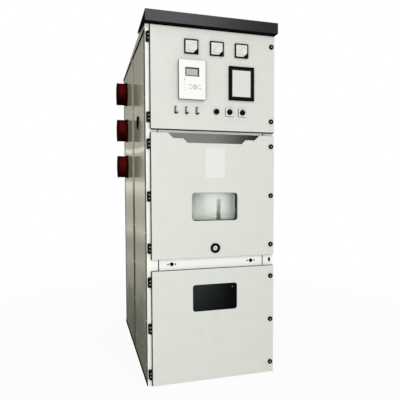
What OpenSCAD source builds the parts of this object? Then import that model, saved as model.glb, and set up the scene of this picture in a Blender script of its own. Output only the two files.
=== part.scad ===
// Metal-clad switchgear cubicle: a sheet-metal cabinet with three hinged front doors,
// instruments on the upper door, and three busbar sleeves through the left wall.
// The origin is on the ground, in the middle of the foundation bolts. The doors face -Y.

/* [Cubicle] */
// Width over the side walls
cubicle_width = 800; // [760:1:1000]
// Depth from the face of the front posts to the back of the rear posts
cubicle_depth = 1400; // [1300:1:1700]
// Thickness of the sheet metal
sheet = 2; // [1.5:0.1:2.5]
// Width of a post's face
post_face = 66; // [60:1:76]
// Depth of a folded post
post_depth = 60; // [50:1:80]
// Depth of the lip along a post's inner edge
post_lip = 25; // [15:1:30]
// Open joint between a post and the rails beside it
rail_joint = 6; // [1:0.5:8]
// Open joint between the front and the rear side sheets
side_seam = 1; // [0.5:0.5:3]

/* [Doors] */
// Gap between the ground and the cable door
ground_gap = 8; // [6:1:20]
// Height of the lower door, to the cable compartment
cable_door_height = 688; // [640:1:800]
// Height of the interlock panel between the lower and the middle door
interlock_reveal = 70; // [60:1:90]
// Height of the middle door, to the breaker compartment
breaker_door_height = 747; // [720:1:850]
// Height of the rail between the middle and the upper door
rail_reveal = 23; // [18:1:40]
// Height of the upper door, to the instrument compartment
instrument_door_height = 592; // [560:1:700]
// Gap between the upper door and the hood
hood_gap = 8; // [6:1:15]
// How far a door's face stands in front of the posts
door_proud = 25; // [22:0.5:32]
// Width of the lip folded in along the back of a door's edges
door_lip = 12; // [8:0.5:13]
// Gap between a door's folded edges and the posts
door_gap = 5; // [5:0.5:7]
// Post left bare beside the hinged edge of the doors
hinge_reveal = 27; // [26:0.5:32]
// Post left bare beside the free edge of the doors
latch_reveal = 2; // [1:0.5:6]
// How far the rails reach behind a door's edge
rail_lap = 14; // [10:1:20]
// How far the top rail reaches behind the upper door
top_rail_lap = 28; // [20:1:40]
// Depth of the rails
rail_depth = 58; // [40:1:58]
// Half the width of the tabs that hold a rail behind the posts' lips
rail_tab = 20; // [10:1:30]

/* [Hinges and locks] */
// Height of a hinge
hinge_height = 60; // [48:1:80]
// Distance from a door's edge to its outer hinges and locks
fixing_inset = 66; // [50:1:90]
// Radius of a hinge knuckle
knuckle_r = 7; // [6:0.1:7.5]
// Radius of a hinge pin
pin_r = 3; // [2:0.1:4]
// Running clearance round a hinge pin
pin_clearance = 0.05; // [0.02:0.01:0.08]
// Gap between the knuckles of one hinge
knuckle_gap = 3; // [1:0.5:5]
// Distance from the hinged edge of a door to the hinge axis
hinge_offset = 10; // [9.5:0.1:11]
// Thickness of the hinge plate on a post
hinge_plate = 4; // [3:0.5:4.5]
// Radius of a quarter-turn lock's head
lock_r = 15; // [10:0.5:16]
// How far a lock's head stands out of its door
lock_proud = 6; // [3:0.5:10]
// Radius of a lock's barrel
lock_barrel_r = 9; // [6:0.5:9.5]
// Length of a lock's barrel behind the door's sheet
lock_barrel = 12; // [8:1:14]
// Distance from a door's free edge to its locks
lock_inset = 22; // [18:1:40]
// Width of a lock's key slot
key_slot = 3; // [2:0.5:5]
// Clearance round what passes through a door
cut_clearance = 0.5; // [0.2:0.1:1]

/* [Instruments] */
// Side of a square meter
meter_side = 84; // [70:1:96]
// Distance between the meters
meter_pitch = 156; // [130:1:180]
// Drop from the upper door's top edge to the meters
meter_drop = 108; // [80:1:140]
// How far the instrument columns lie right of the door's middle
instrument_shift = 10; // [-20:1:20]
// How far a meter stands out of the door
meter_proud = 14; // [8:1:30]
// Width of a meter's frame round its dial
meter_rim = 6; // [4:0.5:10]
// Depth from a meter's frame to its dial
dial_depth = 3; // [2:0.5:5]
// Length of the sides of the corner cover over a meter's pivot
meter_corner = 23; // [14:0.5:34]
// Width of the protection relay
relay_width = 158; // [130:1:190]
// Height of the protection relay
relay_height = 226; // [180:1:250]
// How far the protection relay stands out of the door
relay_proud = 28; // [15:1:45]
// Drop from the upper door's top edge to the middle of the relay
relay_drop = 305; // [270:1:330]
// Width of the relay's display
display_width = 84; // [60:1:110]
// Height of the relay's display
display_height = 52; // [30:1:70]
// Drop from the relay's top edge to the middle of its display
display_drop = 68; // [50:1:90]
// Width of the indicator frame
indicator_width = 162; // [120:1:190]
// Height of the indicator frame
indicator_height = 204; // [160:1:230]
// Width of the indicator frame's bars
indicator_bar = 17; // [10:1:24]
// How far the indicator frame stands out of the door
indicator_proud = 12; // [6:1:25]
// Drop from the upper door's top edge to the row of switches
switch_drop = 480; // [440:1:520]
// Side of a rotary switch's square plate
switch_plate = 50; // [44:1:60]
// Thickness of a rotary switch's plate
switch_plate_t = 6; // [4:1:10]
// Radius of a rotary switch's knob
knob_r = 17; // [12:0.5:20]
// Height of a rotary switch's knob
knob_height = 18; // [12:1:25]
// Radius of a rotary switch's shaft
knob_shaft_r = 4; // [3:0.5:5]
// Clearance under a rotary switch's knob
knob_gap = 0.5; // [0.3:0.1:1]
// Distance between the rotary switches
switch_pitch = 82; // [70:1:95]
// Width of the grip across a rotary switch's knob
grip_width = 8.5; // [6:0.5:12]
// Radius of the push button's collar
collar_r = 18; // [15:0.5:22]
// How far the push button's collar stands out of the door
collar_t = 6; // [3:0.5:10]
// Radius of the push button
button_r = 14; // [8:0.5:14.5]
// How far the push button stands out of its collar
button_proud = 10; // [2:0.5:14]
// Distance between the test links
link_pitch = 64; // [50:1:70]
// Width of a test link's strip
link_width = 12; // [8:1:16]
// Height of a test link's strip
link_height = 44; // [36:1:60]
// How far a test link's strip stands out of the door
link_t = 6; // [3:0.5:10]
// Length of a test link's foot
link_foot = 22; // [16:1:30]
// Height of a test link's foot
link_foot_height = 10; // [5:1:14]
// How far a test link's foot stands out of its strip
link_foot_proud = 6; // [3:0.5:10]
// Depth of the instruments behind the door's sheet
instrument_depth = 55; // [30:1:70]

/* [Windows and fittings] */
// Width of the door windows
window_width = 282; // [200:1:340]
// Height of the door windows
window_height = 165; // [120:1:200]
// Corner radius of the door windows
window_r = 16; // [8:1:30]
// Thickness of a window's pane
pane = 4; // [3:0.5:6]
// How far a pane reaches behind the door round its window
pane_lap = 15; // [8:1:25]
// Depth of the surround behind the middle door's pane
surround_depth = 36; // [15:1:50]
// Drop from the middle door's top edge to the middle of its window
breaker_window_drop = 438; // [400:1:480]
// Drop from the lower door's top edge to the middle of its window
cable_window_drop = 177; // [140:1:220]
// Width of the dark band along the middle door's top edge
band_width = 570; // [480:1:620]
// Height of the dark band's upper step
band_step = 30; // [20:1:40]
// Height of the dark band
band_height = 55; // [45:1:70]
// Thickness of the dark band
band_t = 2; // [1:0.5:4]
// Outer radius of the crank socket's ring
socket_r = 30; // [22:0.5:36]
// Radius of the crank socket's hole
socket_bore_r = 14; // [10:0.5:18]
// How far the crank socket's ring stands out of the door
socket_proud = 8; // [4:1:15]
// Rise from the middle door's bottom edge to the crank socket
socket_rise = 56; // [45:1:80]
// Radius of the interlock holes
interlock_r = 9; // [6:0.5:14]
// Distance of the interlock holes from the cubicle's middle
interlock_reach = 252; // [200:1:290]
// Radius of the slot's ends in the right post
post_slot_r = 5; // [3:0.5:7]
// Height of the slot in the right post
post_slot_height = 22; // [16:1:40]
// Distance from the right wall to the slot in the right post
post_slot_inset = 22; // [14:1:40]

/* [Hood and roof] */
// Height of the hood's front
hood_height = 64; // [50:1:90]
// How far the hood stands in front of the posts
hood_overhang = 62; // [40:1:90]
// How far the hood's cheeks stand outside the side walls
hood_side = 6; // [2:1:30]
// Depth of the hood behind the posts' face
hood_depth = 300; // [200:1:420]
// Height of the side sheets below the hood's underside
roof_drop = 24; // [15:1:40]
// Height of the edges that carry the roof, at the front
roof_edge = 60; // [45:1:80]
// Height of the edges that carry the roof, at the back
roof_edge_back = 8; // [5:1:30]
// How far the hood's top falls from its front to its back
hood_fall = 22; // [0:1:28]
// Clearance between the sheets that follow the roof's fall
roof_clearance = 0.2; // [0.1:0.1:0.5]
// Gap between the pressure relief covers and the roof's edges
relief_margin = 40; // [25:1:70]
// Gap between two pressure relief covers
relief_gap = 30; // [10:1:60]

/* [Busbar sleeves] */
// Outer radius of a busbar sleeve
sleeve_r = 86; // [70:1:95]
// Wall of a busbar sleeve
sleeve_wall = 9; // [6:0.5:14]
// How far a sleeve stands out of the left wall
sleeve_reach = 78; // [60:1:120]
// How far a sleeve reaches inside the wall
sleeve_inside = 40; // [20:1:80]
// Extra radius of a sleeve's wall flange
sleeve_flange = 6; // [4:1:16]
// Thickness of a sleeve's wall flange
sleeve_flange_t = 10; // [6:1:16]
// Length of the bead at a sleeve's open end
sleeve_bead_length = 6; // [4:1:15]
// Extra radius of the bead at a sleeve's open end
sleeve_bead = 2; // [1:0.5:6]
// Distance between the sleeves
sleeve_pitch = 291; // [240:1:300]
// Drop from the side walls' top to the highest sleeve
sleeve_drop = 175; // [120:1:300]
// Distance from the back of the cubicle to the sleeves
sleeve_back = 260; // [150:1:400]
// Radius of the wiring holes in the side walls
wiring_r = 43; // [25:1:60]
// Distance from the front to the wiring holes
wiring_back = 376; // [200:1:395]
// Rise from the upper door's bottom edge to the wiring holes
wiring_rise = 80; // [70:1:170]

/* [Inside] */
// Depth of the instrument compartment
instrument_space = 440; // [410:1:560]
// Distance from the posts' face to the breaker truck's front
truck_back = 78; // [74:1:120]
// Width of the breaker truck's front
truck_width = 640; // [560:1:650]
// Depth of the breaker truck's folded edges
truck_fold = 40; // [20:1:60]
// Gap between the breaker truck and the shelf over it
truck_head = 30; // [20:1:60]
// Width of the groove in the breaker truck's front
groove_width = 26; // [16:1:40]
// Height of the groove in the breaker truck's front
groove_height = 306; // [200:1:380]
// Rise from the breaker truck's foot to the groove
groove_rise = 80; // [40:1:120]
// How far the groove lies right of the doors' middle
groove_shift = 51; // [0:1:70]

/* [Base] */
// Height of the sill behind the cable door's bottom edge
sill_height = 60; // [40:1:80]
// Thickness of the floor plate
floor_t = 3; // [2:0.5:5]
// Distance from the cubicle's sides, front and back to the foundation bolts
bolt_inset = 100; // [85:1:200]
// Radius of the foundation bolt holes
bolt_r = 7; // [5:0.5:9]
// Height of the joint between the two rear covers
rear_joint_rise = 1090; // [900:1:1300]
// Depth of the rear covers' folded edges
rear_fold = 15; // [10:1:25]
// Gap round the rear covers
rear_gap = 8; // [4:1:15]

/* [Hidden] */
$fn = 48;

skim = 1;
front_y = -cubicle_depth / 2;
back_y = cubicle_depth / 2;
wall_x = cubicle_width / 2;
inner_x = wall_x - sheet;
rail_x = wall_x - post_face - rail_joint;

cable_z0 = ground_gap;
cable_z1 = cable_z0 + cable_door_height;
breaker_z0 = cable_z1 + interlock_reveal;
breaker_z1 = breaker_z0 + breaker_door_height;
instrument_z0 = breaker_z1 + rail_reveal;
instrument_z1 = instrument_z0 + instrument_door_height;
post_height = instrument_z1 + hood_gap;
side_height = post_height - roof_drop;
roof_top = side_height + roof_edge;
hood_top = post_height + hood_height;
roof_y0 = front_y + post_depth;

door_x0 = -wall_x + hinge_reveal;
door_x1 = wall_x - latch_reveal;
door_width = door_x1 - door_x0;
door_mid = (door_x0 + door_x1) / 2;
door_face_y = front_y - door_proud;
door_depth = door_proud - door_gap;
skin_y = door_face_y + sheet;
lock_x = door_x1 - lock_inset;

hinge_x = door_x0 - hinge_offset;
hinge_y = door_face_y + door_depth / 2;
knuckle_height = (hinge_height - 2 * knuckle_gap) / 3;

left_column = door_mid + instrument_shift - meter_pitch;
right_column = door_mid + instrument_shift + meter_pitch;
meter_z = instrument_z1 - meter_drop;
relay_z = instrument_z1 - relay_drop;
switch_z = instrument_z1 - switch_drop;
meter_body = meter_side - 2 * meter_rim;
relay_body_width = relay_width - 2 * meter_rim;
relay_body_height = relay_height - 2 * meter_rim;
indicator_body_width = indicator_width - 2 * indicator_bar;
indicator_body_height = indicator_height - 2 * indicator_bar;
right_switch_x = right_column + meter_rim;
left_switch_x = right_switch_x - switch_pitch;
button_x = left_switch_x - switch_pitch;
first_link_x = left_column - link_pitch * 1.5;
knob_y = door_face_y - switch_plate_t;

breaker_window_z = breaker_z1 - breaker_window_drop;
cable_window_z = cable_z1 - cable_window_drop;
socket_z = breaker_z0 + socket_rise;
instrument_shelf_z = (breaker_z1 + instrument_z0) / 2;
breaker_shelf_z = (cable_z1 + breaker_z0) / 2;
truck_y = front_y + truck_back;
sleeve_y = back_y - sleeve_back;
sleeve_zs = [for (i = [2:-1:0]) side_height - sleeve_drop - i * sleeve_pitch];
wiring_y = front_y + wiring_back;
wiring_z = instrument_z0 + wiring_rise;
bolt_x = wall_x - bolt_inset;
bolt_y = back_y - bolt_inset;

white = [0.95, 0.95, 0.93];
pale_grey = [0.86, 0.87, 0.85];
charcoal = [0.2, 0.2, 0.2];
black = [0.05, 0.05, 0.05];
zinc = [0.62, 0.62, 0.57];
maroon = [0.3, 0.05, 0.05];
glass = [0.7, 0.75, 0.73];
silver = [0.75, 0.75, 0.73];

function door_z0(name) = name == "cable" ? cable_z0 : name == "breaker" ? breaker_z0 : instrument_z0;
function door_z1(name) = name == "cable" ? cable_z1 : name == "breaker" ? breaker_z1 : instrument_z1;
// Height of the roof's top face, which falls from its front to the back
function roof_z(y) = roof_top - (roof_edge - roof_edge_back) * (y - roof_y0) / (back_y - roof_y0);
// Heights of a door's hinges and locks: the upper door has two, the others three
function fixing_zs(name) = concat(
    [door_z0(name) + fixing_inset, door_z1(name) - fixing_inset],
    name == "instrument" ? [] : [(door_z0(name) + door_z1(name)) / 2]
);

// A flat outline drawn in X and Z, made solid from y towards the back
module facing_front(y, thickness) {
    translate([0, y + thickness, 0])
        rotate([90, 0, 0])
            linear_extrude(thickness)
                children();
}

// A flat outline drawn in Y and Z, made solid from x towards the right
module facing_side(x, thickness) {
    translate([x, 0, 0])
        rotate([90, 0, 90])
            linear_extrude(thickness)
                children();
}

module rounded_rectangle(width, height, radius) {
    square([width - 2 * radius, height], center = true);
    square([width, height - 2 * radius], center = true);
    for (sx = [-1, 1], sz = [-1, 1])
        translate([sx * (width / 2 - radius), sz * (height / 2 - radius)])
            circle(radius);
}

// A slot with round ends, standing on end
module upright_slot(radius, height) {
    straight = height - 2 * radius;
    square([2 * radius, straight], center = true);
    for (sz = [-1, 1])
        translate([0, sz * straight / 2])
            circle(radius);
}

// A block by its lowest corner and its highest corner
module block(low, high) {
    translate(low) cube(high - low);
}

module pin_along_y(x, y, z, radius, length) {
    translate([x, y, z])
        rotate([-90, 0, 0])
            cylinder(r = radius, h = length);
}

// Folded post at the left front corner: face, web behind the side sheet, and two lips
module post_section() {
    translate([-wall_x, front_y]) square([post_face, sheet]);
    translate([-inner_x, front_y]) square([sheet, post_depth]);
    translate([-wall_x + post_face - sheet, front_y]) square([sheet, post_lip]);
    translate([-inner_x, front_y + post_depth - sheet]) square([post_lip, sheet]);
}

module front_post() {
    linear_extrude(post_height) post_section();
}

module rear_post() {
    mirror([0, 1, 0]) linear_extrude(side_height) post_section();
}

module left_front_post() {
    color(white) front_post();
}

module right_front_post() {
    color(white) difference() {
        mirror([1, 0, 0]) front_post();
        facing_front(front_y - skim, sheet + 2 * skim)
            translate([wall_x - post_slot_inset, breaker_shelf_z])
                upright_slot(post_slot_r, post_slot_height);
    }
}

module rear_posts() {
    color(zinc) {
        rear_post();
        mirror([1, 0, 0]) rear_post();
    }
}

// Front half of a side wall, with the hole for the wiring that runs from cubicle to cubicle
module front_side(x) {
    color(zinc) difference() {
        block([x, front_y + sheet, 0], [x + sheet, -side_seam / 2, side_height]);
        translate([x - skim, wiring_y, wiring_z])
            rotate([0, 90, 0])
                cylinder(r = wiring_r, h = sheet + 2 * skim);
    }
}

module rear_side(x) {
    color(zinc) block([x, side_seam / 2, 0], [x + sheet, back_y - sheet, side_height]);
}

module left_front_side() {
    front_side(-wall_x);
}

module right_front_side() {
    front_side(inner_x);
}

module left_rear_side() {
    difference() {
        rear_side(-wall_x);
        for (z = sleeve_zs)
            translate([-wall_x - skim, sleeve_y, z])
                rotate([0, 90, 0])
                    cylinder(r = sleeve_r + cut_clearance, h = sheet + 2 * skim);
    }
}

module right_rear_side() {
    rear_side(inner_x);
}

// Floor between the walls, cut back at the four posts and drilled for the foundation bolts
module floor_plate() {
    plate_y = back_y - sheet;
    color(zinc) difference() {
        block([-inner_x, -plate_y, 0], [inner_x, plate_y, floor_t]);
        for (sx = [-1, 1], sy = [-1, 1]) {
            translate([sx * wall_x, sy * back_y, 0])
                cube([2 * post_face, 2 * post_depth, 2 * floor_t + 2 * skim], center = true);
            translate([sx * bolt_x, sy * bolt_y, -skim])
                cylinder(r = bolt_r, h = floor_t + 2 * skim);
        }
    }
}

// Channel between the front posts, open to the back, with an end tab behind each post's lip
module rail(z0, z1) {
    tab_y = front_y + post_lip;
    color(white) {
        difference() {
            block([-rail_x, front_y, z0], [rail_x, front_y + rail_depth, z1]);
            block(
                [-rail_x - skim, front_y + sheet, z0 + sheet],
                [rail_x + skim, front_y + rail_depth + skim, z1 - sheet]
            );
        }
        for (sx = [-1, 1])
            translate([sx * rail_x, tab_y + sheet / 2, (z0 + z1) / 2])
                cube([2 * rail_tab, sheet, z1 - z0], center = true);
    }
}

module bottom_rail() {
    color(white) block([-rail_x, front_y, 0], [rail_x, front_y + sheet, sill_height]);
}

module interlock_panel() {
    difference() {
        rail(cable_z1 - rail_lap, breaker_z0 + rail_lap);
        for (sx = [-1, 1])
            pin_along_y(sx * interlock_reach, front_y - skim, breaker_shelf_z, interlock_r, sheet + 2 * skim);
    }
}

module upper_rail() {
    rail(breaker_z1 - rail_lap, instrument_z0 + rail_lap);
}

module top_rail() {
    rail(instrument_z1 - top_rail_lap, post_height);
}

// A sheet that follows the roof's fall from y0 to y1, between two heights over the roof's top face
module along_roof(x, width, y0, y1, low, high) {
    facing_side(x, width)
        polygon([
            [y0, roof_z(y0) + low], [y1, roof_z(y1) + low], [y1, roof_z(y1) + high], [y0, roof_z(y0) + high]
        ]);
}

// Front and rear roof sheets
module roof() {
    color(zinc) for (ys = [[roof_y0, -side_seam / 2], [side_seam / 2, back_y]])
        along_roof(-wall_x, cubicle_width, ys[0], ys[1], -sheet, 0);
}

// Edges that carry the roof: a tapered one on each side wall, one over the top rail and one over the back
module roof_edges() {
    across_x = inner_x - skim;
    under = sheet + roof_clearance;
    color(zinc) {
        for (x = [-wall_x, inner_x])
            facing_side(x, sheet)
                polygon([
                    [roof_y0, side_height], [back_y, side_height],
                    [back_y, roof_z(back_y) - under], [roof_y0, roof_top - under]
                ]);
        for (y = [roof_y0, back_y - sheet])
            block([-across_x, y, side_height], [across_x, y + sheet, roof_z(y + sheet) - under]);
    }
}

// Three bolted covers that let a fault's pressure out through the roof
module relief_covers() {
    first_y = front_y + hood_depth + relief_margin;
    last_y = back_y - relief_margin;
    length = (last_y - first_y - 2 * relief_gap) / 3;
    color(zinc) for (i = [0:2]) {
        y = first_y + i * (length + relief_gap);
        along_roof(
            -wall_x + relief_margin, cubicle_width - 2 * relief_margin, y, y + length,
            roof_clearance, roof_clearance + sheet
        );
    }
}

// Hood over the doors: a folded front, underside and top, with cheeks that taper to the back
module hood() {
    end_x = wall_x + hood_side;
    inside_x = end_x - sheet;
    face_y = front_y - hood_overhang;
    rear_y = front_y + hood_depth;
    inner_y = face_y + sheet;
    fall = hood_fall / (rear_y - face_y);
    color(charcoal) {
        difference() {
            facing_side(-end_x, 2 * end_x)
                polygon([
                    [face_y, post_height], [face_y, hood_top], [rear_y, hood_top - hood_fall],
                    [rear_y, roof_z(rear_y) + roof_clearance], [roof_y0, roof_top + roof_clearance],
                    [roof_y0, post_height]
                ]);
            facing_side(-inside_x, 2 * inside_x)
                polygon([
                    [inner_y, post_height + sheet], [inner_y, hood_top - sheet - fall * sheet],
                    [rear_y + skim, hood_top - sheet - hood_fall - fall * skim],
                    [rear_y + skim, roof_z(rear_y) - skim],
                    [roof_y0 + skim, roof_top - skim], [roof_y0 + skim, post_height + sheet]
                ]);
        }
        for (x = [-end_x, inside_x])
            facing_side(x, sheet)
                polygon([
                    [roof_y0, post_height], [roof_y0, roof_top + roof_clearance],
                    [rear_y, roof_z(rear_y) + roof_clearance]
                ]);
    }
}

// Bolted cover over the back, with its edges folded towards the posts
module rear_cover(z0, z1) {
    cover_x = wall_x - rear_gap;
    color(zinc) difference() {
        block([-cover_x, back_y, z0], [cover_x, back_y + rear_fold, z1]);
        block(
            [-cover_x + sheet, back_y - skim, z0 + sheet],
            [cover_x - sheet, back_y + rear_fold - sheet, z1 - sheet]
        );
    }
}

module rear_upper_cover() {
    rear_cover(rear_joint_rise + rear_gap / 2, side_height - rear_gap);
}

module rear_lower_cover() {
    rear_cover(rear_gap, rear_joint_rise - rear_gap / 2);
}

module middle_partition() {
    color(zinc) block([-inner_x, -sheet / 2, floor_t], [inner_x, sheet / 2, side_height]);
}

module shelf(z) {
    color(zinc) block([-inner_x, front_y + post_depth, z - sheet / 2], [inner_x, -sheet / 2, z + sheet / 2]);
}

module instrument_shelf() {
    shelf(instrument_shelf_z);
}

module breaker_shelf() {
    shelf(breaker_shelf_z);
}

module instrument_back() {
    y = front_y + instrument_space;
    color(zinc) block([-inner_x, y, instrument_shelf_z + sheet / 2], [inner_x, y + sheet, side_height]);
}

// Front of the breaker truck, standing on its shelf behind the middle door
module truck_front() {
    z0 = breaker_shelf_z + sheet / 2;
    z1 = instrument_shelf_z - truck_head;
    half = truck_width / 2;
    groove_x = door_mid + groove_shift;
    color(silver) difference() {
        block([-half, truck_y, z0], [half, truck_y + truck_fold, z1]);
        block(
            [-half + sheet, truck_y + sheet, z0 + sheet],
            [half - sheet, truck_y + truck_fold + skim, z1 - sheet]
        );
        block(
            [groove_x - groove_width / 2, truck_y - skim, z0 + groove_rise],
            [groove_x + groove_width / 2, truck_y + sheet + skim, z0 + groove_rise + groove_height]
        );
    }
}

// Insulating sleeve that carries a busbar through the left wall, turned about the busbar's line
module sleeve(step) {
    bore_r = sleeve_r - sleeve_wall;
    color(maroon)
        translate([-wall_x, sleeve_y, sleeve_zs[step]])
            rotate([0, -90, 0])
                rotate_extrude()
                    polygon([
                        [bore_r, -sheet - sleeve_inside], [sleeve_r, -sheet - sleeve_inside],
                        [sleeve_r, 0], [sleeve_r + sleeve_flange, 0],
                        [sleeve_r + sleeve_flange, sleeve_flange_t], [sleeve_r, sleeve_flange_t],
                        [sleeve_r, sleeve_reach - sleeve_bead_length - sleeve_bead],
                        [sleeve_r + sleeve_bead, sleeve_reach - sleeve_bead_length],
                        [sleeve_r + sleeve_bead, sleeve_reach], [bore_r, sleeve_reach]
                    ]);
}

module top_sleeve() {
    sleeve(2);
}

module middle_sleeve() {
    sleeve(1);
}

module bottom_sleeve() {
    sleeve(0);
}

// Hinge half on the post: a plate, the outer two knuckles and the pin
module hinge_posts() {
    plate_x0 = hinge_x - 2 * knuckle_r;
    color(black) for (name = ["cable", "breaker", "instrument"], z = fixing_zs(name)) {
        block(
            [plate_x0, front_y - hinge_plate, z - hinge_height / 2],
            [hinge_x + knuckle_r, front_y, z + hinge_height / 2]
        );
        for (end_z = [z - hinge_height / 2, z + hinge_height / 2 - knuckle_height])
            translate([hinge_x, 0, end_z]) {
                translate([0, hinge_y, 0]) cylinder(r = knuckle_r, h = knuckle_height);
                translate([-knuckle_r, hinge_y, 0]) cube([2 * knuckle_r, front_y - hinge_y, knuckle_height]);
            }
        translate([hinge_x, hinge_y, z - hinge_height / 2]) cylinder(r = pin_r, h = hinge_height);
    }
}

// Hinge half on the door: the middle knuckle and the tail that is fixed to the door's edge
module hinge_leaves(name) {
    color(black) for (z = fixing_zs(name))
        translate([hinge_x, hinge_y, z - knuckle_height / 2])
            difference() {
                union() {
                    cylinder(r = knuckle_r, h = knuckle_height);
                    translate([0, -knuckle_r, 0]) cube([hinge_offset, 2 * knuckle_r, knuckle_height]);
                }
                translate([0, 0, -skim]) cylinder(r = pin_r + pin_clearance, h = knuckle_height + 2 * skim);
            }
}

module instrument_hinge_leaves() {
    hinge_leaves("instrument");
}

module breaker_hinge_leaves() {
    hinge_leaves("breaker");
}

module cable_hinge_leaves() {
    hinge_leaves("cable");
}

// Door with folded edges and lips, the holes of its locks, and its other cuts as children
module door(name) {
    z0 = door_z0(name);
    z1 = door_z1(name);
    back = door_face_y + door_depth;
    color(pale_grey) difference() {
        block([door_x0, door_face_y, z0], [door_x1, back, z1]);
        block([door_x0 + sheet, skin_y, z0 + sheet], [door_x1 - sheet, back - sheet, z1 - sheet]);
        block([door_x0 + door_lip, skin_y, z0 + door_lip], [door_x1 - door_lip, back + skim, z1 - door_lip]);
        for (z = fixing_zs(name))
            pin_along_y(lock_x, door_face_y - skim, z, lock_barrel_r + cut_clearance, sheet + 2 * skim);
        children();
    }
}

// Quarter-turn locks: a head with a key slot on the door's face, and a barrel behind it
module locks(name) {
    slot_depth = lock_proud / 2;
    color(black) for (z = fixing_zs(name))
        difference() {
            union() {
                pin_along_y(lock_x, door_face_y - lock_proud, z, lock_r, lock_proud);
                pin_along_y(lock_x, door_face_y - skim, z, lock_barrel_r, skim + sheet + lock_barrel);
            }
            translate([lock_x, door_face_y - lock_proud, z])
                cube([key_slot, 2 * slot_depth, lock_r], center = true);
        }
}

// Square cut through a door's sheet for an instrument's body
module door_cut(x, z, width, height) {
    facing_front(door_face_y - skim, sheet + 2 * skim)
        translate([x, z]) square([width + 2 * cut_clearance, height + 2 * cut_clearance], center = true);
}

// Front of an instrument on the door's face, and its body behind the door's sheet
module instrument_case(x, z, width, height, proud, body_width, body_height) {
    facing_front(door_face_y - proud, proud)
        translate([x, z]) square([width, height], center = true);
    facing_front(door_face_y - skim, skim + sheet + instrument_depth)
        translate([x, z]) square([body_width, body_height], center = true);
}

module door_window(z) {
    facing_front(door_face_y - skim, sheet + 2 * skim)
        translate([door_mid, z]) rounded_rectangle(window_width, window_height, window_r);
}

module pane_outline() {
    rounded_rectangle(window_width + 2 * pane_lap, window_height + 2 * pane_lap, window_r);
}

module window_pane(z) {
    color(glass)
        facing_front(skin_y, pane)
            translate([door_mid, z]) pane_outline();
}

module instrument_door() {
    door("instrument") {
        for (i = [-1:1])
            door_cut(door_mid + instrument_shift + i * meter_pitch, meter_z, meter_body, meter_body);
        door_cut(left_column, relay_z, relay_body_width, relay_body_height);
        door_cut(right_column, relay_z, indicator_body_width, indicator_body_height);
    }
}

module breaker_door() {
    door("breaker") {
        door_window(breaker_window_z);
        pin_along_y(door_mid, door_face_y - skim, socket_z, socket_bore_r + sheet, sheet + 2 * skim);
    }
}

module cable_door() {
    door("cable") door_window(cable_window_z);
}

module instrument_locks() {
    locks("instrument");
}

module breaker_locks() {
    locks("breaker");
}

module cable_locks() {
    locks("cable");
}

// Square panel meters, each with a sunk dial and a corner cover over the needle's pivot
module meters() {
    color(black) for (i = [-1:1]) {
        x = door_mid + instrument_shift + i * meter_pitch;
        difference() {
            instrument_case(x, meter_z, meter_side, meter_side, meter_proud, meter_body, meter_body);
            facing_front(door_face_y - meter_proud - skim, dial_depth + skim)
                translate([x, meter_z])
                    difference() {
                        square(meter_body, center = true);
                        translate([meter_body / 2, -meter_body / 2])
                            polygon([
                                [-meter_corner - skim, -skim], [skim, -skim], [skim, meter_corner + skim]
                            ]);
                    }
        }
    }
}

module relay() {
    display_z = relay_z + relay_height / 2 - display_drop;
    color(white) difference() {
        instrument_case(
            left_column, relay_z, relay_width, relay_height, relay_proud, relay_body_width, relay_body_height
        );
        facing_front(door_face_y - relay_proud - skim, dial_depth + skim)
            translate([left_column, display_z]) square([display_width, display_height], center = true);
    }
}

module indicator_frame() {
    color(black) difference() {
        instrument_case(
            right_column, relay_z, indicator_width, indicator_height, indicator_proud,
            indicator_body_width, indicator_body_height
        );
        facing_front(door_face_y - indicator_proud - skim, indicator_proud / 2 + skim)
            translate([right_column, relay_z])
                square([indicator_body_width, indicator_body_height], center = true);
    }
}

module indicator_pane() {
    color(glass)
        facing_front(door_face_y - indicator_proud / 2 - dial_depth, dial_depth)
            translate([right_column, relay_z])
                square([indicator_body_width, indicator_body_height], center = true);
}

// Test links: an upright strip with a foot that stands out to the right
module test_links() {
    foot_t = link_t + link_foot_proud;
    color(black) for (i = [0:2])
        translate([first_link_x + i * link_pitch - link_width / 2, 0, switch_z - link_height / 2]) {
            facing_front(door_face_y - link_t, link_t)
                square([link_width, link_height]);
            facing_front(door_face_y - foot_t, foot_t)
                square([link_foot, link_foot_height]);
        }
}

module push_button() {
    button_t = collar_t + button_proud;
    color(black) {
        pin_along_y(button_x, door_face_y - collar_t, switch_z, collar_r, collar_t);
        pin_along_y(button_x, door_face_y - button_t, switch_z, button_r, button_t);
    }
}

module switch_plates() {
    color(white) difference() {
        for (x = [left_switch_x, right_switch_x])
            facing_front(knob_y, switch_plate_t)
                translate([x, switch_z]) square(switch_plate, center = true);
        for (x = [left_switch_x, right_switch_x])
            pin_along_y(x, knob_y - skim, switch_z, knob_shaft_r + pin_clearance, switch_plate_t);
    }
}

// Knob with a raised grip across it, on a shaft that runs in the switch plate
module knob(x) {
    dish = knob_height / 2;
    base_y = knob_y - knob_gap;
    color(black) {
        pin_along_y(x, base_y - dish, switch_z, knob_r, dish);
        intersection() {
            pin_along_y(x, base_y - knob_height, switch_z, knob_r, knob_height);
            block(
                [x - grip_width / 2, base_y - knob_height, switch_z - knob_r],
                [x + grip_width / 2, base_y, switch_z + knob_r]
            );
        }
        pin_along_y(x, base_y - skim, switch_z, knob_shaft_r, skim + knob_gap + switch_plate_t - 2 * skim);
    }
}

module left_knob() {
    knob(left_switch_x);
}

module right_knob() {
    knob(right_switch_x);
}

module breaker_window() {
    window_pane(breaker_window_z);
}

// Deep surround that holds the middle door's pane from behind
module breaker_window_frame() {
    color(black)
        facing_front(skin_y + pane, surround_depth)
            translate([door_mid, breaker_window_z])
                difference() {
                    pane_outline();
                    rounded_rectangle(window_width, window_height, window_r);
                }
}

module cable_window() {
    window_pane(cable_window_z);
}

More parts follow.
